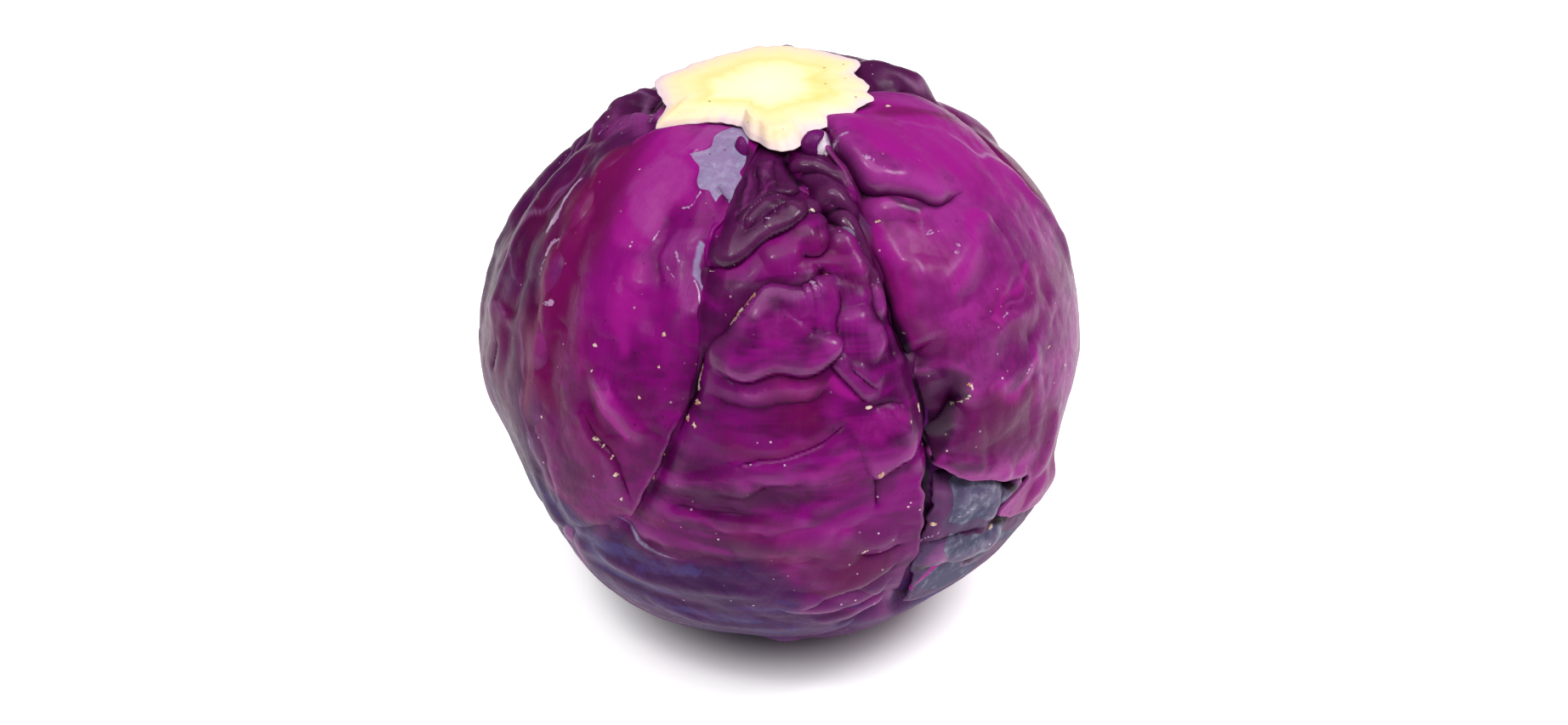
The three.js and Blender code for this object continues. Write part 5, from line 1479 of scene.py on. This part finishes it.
def make_stem():
    bpy.ops.object.select_all(action="DESELECT")
    bpy.ops.mesh.primitive_grid_add(x_subdivisions=260, y_subdivisions=110, size=2.0)
    stem = bpy.context.object
    stem.name = "cut_stem"
    flat = np.empty(len(stem.data.vertices) * 3)
    stem.data.vertices.foreach_get("co", flat)
    flat = flat.reshape(-1, 3)
    turn = 180 * flat[:, 0]
    place = (flat[:, 1] + 1) / 2
    rounds = np.concatenate((cut_rim[-1:, 0] - 360, cut_rim[:, 0], cut_rim[:1, 0] + 360))
    rim = np.interp(turn, rounds, np.concatenate((cut_rim[-1:, 1], cut_rim[:, 1], cut_rim[:1, 1])))
    hang = np.interp(turn, rounds, np.concatenate((cut_rim[-1:, 2], cut_rim[:, 2], cut_rim[:1, 2])))
    angle = np.radians(turn)
    rim = rim + 0.35 * np.sin(13 * angle + 1) * np.sin(5 * angle)
    rim = rim + 0.25 * np.sin(31 * angle) * np.cos(7 * angle)
    rim = rim - back_trim * smooth(110, 150, np.abs(turn))
    share, fixed, depth, droop = (np.interp(place, profile_places, stem_profile[:, k]) for k in range(4))
    distance = share * rim + fixed
    depth = depth + droop * hang
    lean = stem_offset * (1 - depth / core_depth)
    sideways = lean + distance * np.sin(angle)
    points = np.stack((sideways, -distance * np.cos(angle), stem_top - depth), axis=1)
    stem.data.vertices.foreach_set("co", (points * mm).ravel())
    face = np.where(place <= 0.5, distance / np.maximum(rim, 1), 1.0 + (place - 0.5))
    stem.data.attributes.new("reach", "FLOAT", "POINT").data.foreach_set("value", face)
    stem.data.update()
    bpy.ops.object.mode_set(mode="EDIT")
    bpy.ops.mesh.select_all(action="SELECT")
    bpy.ops.mesh.remove_doubles(threshold=merge_distance)
    bpy.ops.mesh.normals_make_consistent(inside=False)
    bpy.ops.object.mode_set(mode="OBJECT")
    bpy.ops.object.shade_smooth()
    return stem


cut_stem = make_stem()
cut_flesh, shader = new_material("cut_stem_flesh")
reach = Wire.node("ShaderNodeAttribute", {"attribute_name": "reach"}, output="Fac")
flesh_noise = noise(150.0, 4.0, 0.6)
blotches = noise(60.0, 4.0, 0.65)
wander = reach + 0.34 * (flesh_noise - 0.5) + 0.55 * (noise(36.0, 3.0, 0.6) - 0.5)
# From the pith over the woody ring to the leaf bases
flesh_stops = [
    (0.0, paint(249, 243, 200)),
    (0.38, paint(248, 238, 186)),
    (0.56, paint(238, 213, 142)),
    (0.7, paint(241, 220, 164)),
    (0.88, paint(239, 216, 180)),
    (1.0, paint(230, 204, 200)),
]
flesh = Wire.node("ShaderNodeValToRGB", {"stops": flesh_stops}, {"Fac": wander})
forward = 0.0 - Wire.node("ShaderNodeSeparateXYZ", None, {"Vector": here()}, output=1)
browned = forward.between(0.013, 0.021) * blotches.between(0.4, 0.62)
flesh = mixed(flesh, paint(226, 192, 132), browned * 0.7)
specks = noise(900.0, 3.0, 0.7)
flesh = mixed(flesh, paint(176, 130, 80), specks.between(0.66, 0.74) * 0.5)
vessels = (1.0 - dots(170.0, here()).between(0.03, 0.09)) * reach.between(0.35, 0.6)
flesh = mixed(flesh, paint(120, 84, 50), vessels * 0.7)
woody = blotches.between(0.52, 0.7) * reach.between(0.3, 0.55) * (1.0 - reach.between(0.72, 0.9))
flesh = mixed(flesh, paint(240, 206, 112), woody * 0.55)
flesh = mixed(flesh, paint(214, 190, 214), (reach + 0.5 * (blotches - 0.5)).between(0.88, 1.02) * 0.5)
flesh = mixed(flesh, paint(104, 40, 100), reach.between(1.05, 1.16) * 0.95)
set_sockets(shader, {
    "Base Color": flesh,
    "Roughness": 0.45 + 0.2 * flesh_noise,
    "Normal": Wire.node("ShaderNodeBump", None, {
        "Strength": 0.3, "Distance": 0.0005, "Height": flesh_noise + 0.4 * specks}),
})
cut_stem.data.materials.append(cut_flesh)
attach(cut_stem, "root")
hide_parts("stem")


# The cut leaf bases under the stem
# Two short ends of trimmed leaves left between the stem and the first leaves, pale where cut.
stub_tilt = -24
# Each: its place, mm from the head's centre, half sizes in mm, degrees turned, how far it is cut
stubs = {
    "right_leaf_base": ((23.0, 18.0), 71.4, (4.6, 2.4, 4.8), 24, 1.0),
    "left_leaf_base": ((-22.5, 19.6), 72.0, (1.8, 1.4, 4.2), -12, 0.0),
}
stub_skin = leaf_skin("leaf_base_skin", (124, 24, 118), (94, 14, 90), (66, 8, 64), (300, 284, 300))
for name, (place, distance, size, turned, cut) in stubs.items():
    bpy.ops.object.select_all(action="DESELECT")
    outwards = Vector(heading([place])[0])
    centre = head_centre + outwards * distance * mm
    bpy.ops.mesh.primitive_uv_sphere_add(segments=64, ring_count=40, radius=1.0, location=(0.0, 0.0, 0.0))
    stub = bpy.context.object
    stub.name = name
    places = np.empty(len(stub.data.vertices) * 3)
    stub.data.vertices.foreach_get("co", places)
    x, y, z = places.reshape(-1, 3).T
    face = smooth(0.1, 0.5, -y)
    half_width = 0.46 * smooth(-1.0, 0.1, z) * (1 - 0.8 * smooth(0.1, 0.9, z))
    scar = face * cut * smooth(0.0, 0.12, half_width - np.abs(x - 0.2))
    taper = 0.35 + 0.65 * smooth(-1.1, 0.2, z)
    shaped = np.stack((x * taper, y * taper + 0.5 * scar, z), axis=1)
    stub.data.vertices.foreach_set("co", shaped.ravel())
    stub.scale = Vector(size) * mm
    stub.rotation_euler = (math.radians(stub_tilt), math.radians(turned), math.radians(place[0]))
    stub.location = centre
    bpy.ops.object.transform_apply(location=True, rotation=True, scale=True)
    for tint in tint_names + ("crease_shade", "hollow", "edge"):
        value = 1.6 * scar if tint == "vein_and_highlight" else np.zeros(len(scar))
        stub.data.attributes.new(tint, "FLOAT", "POINT").data.foreach_set("value", value)
    bpy.ops.object.shade_smooth()
    stub.data.materials.append(stub_skin)
    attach(stub, "root")
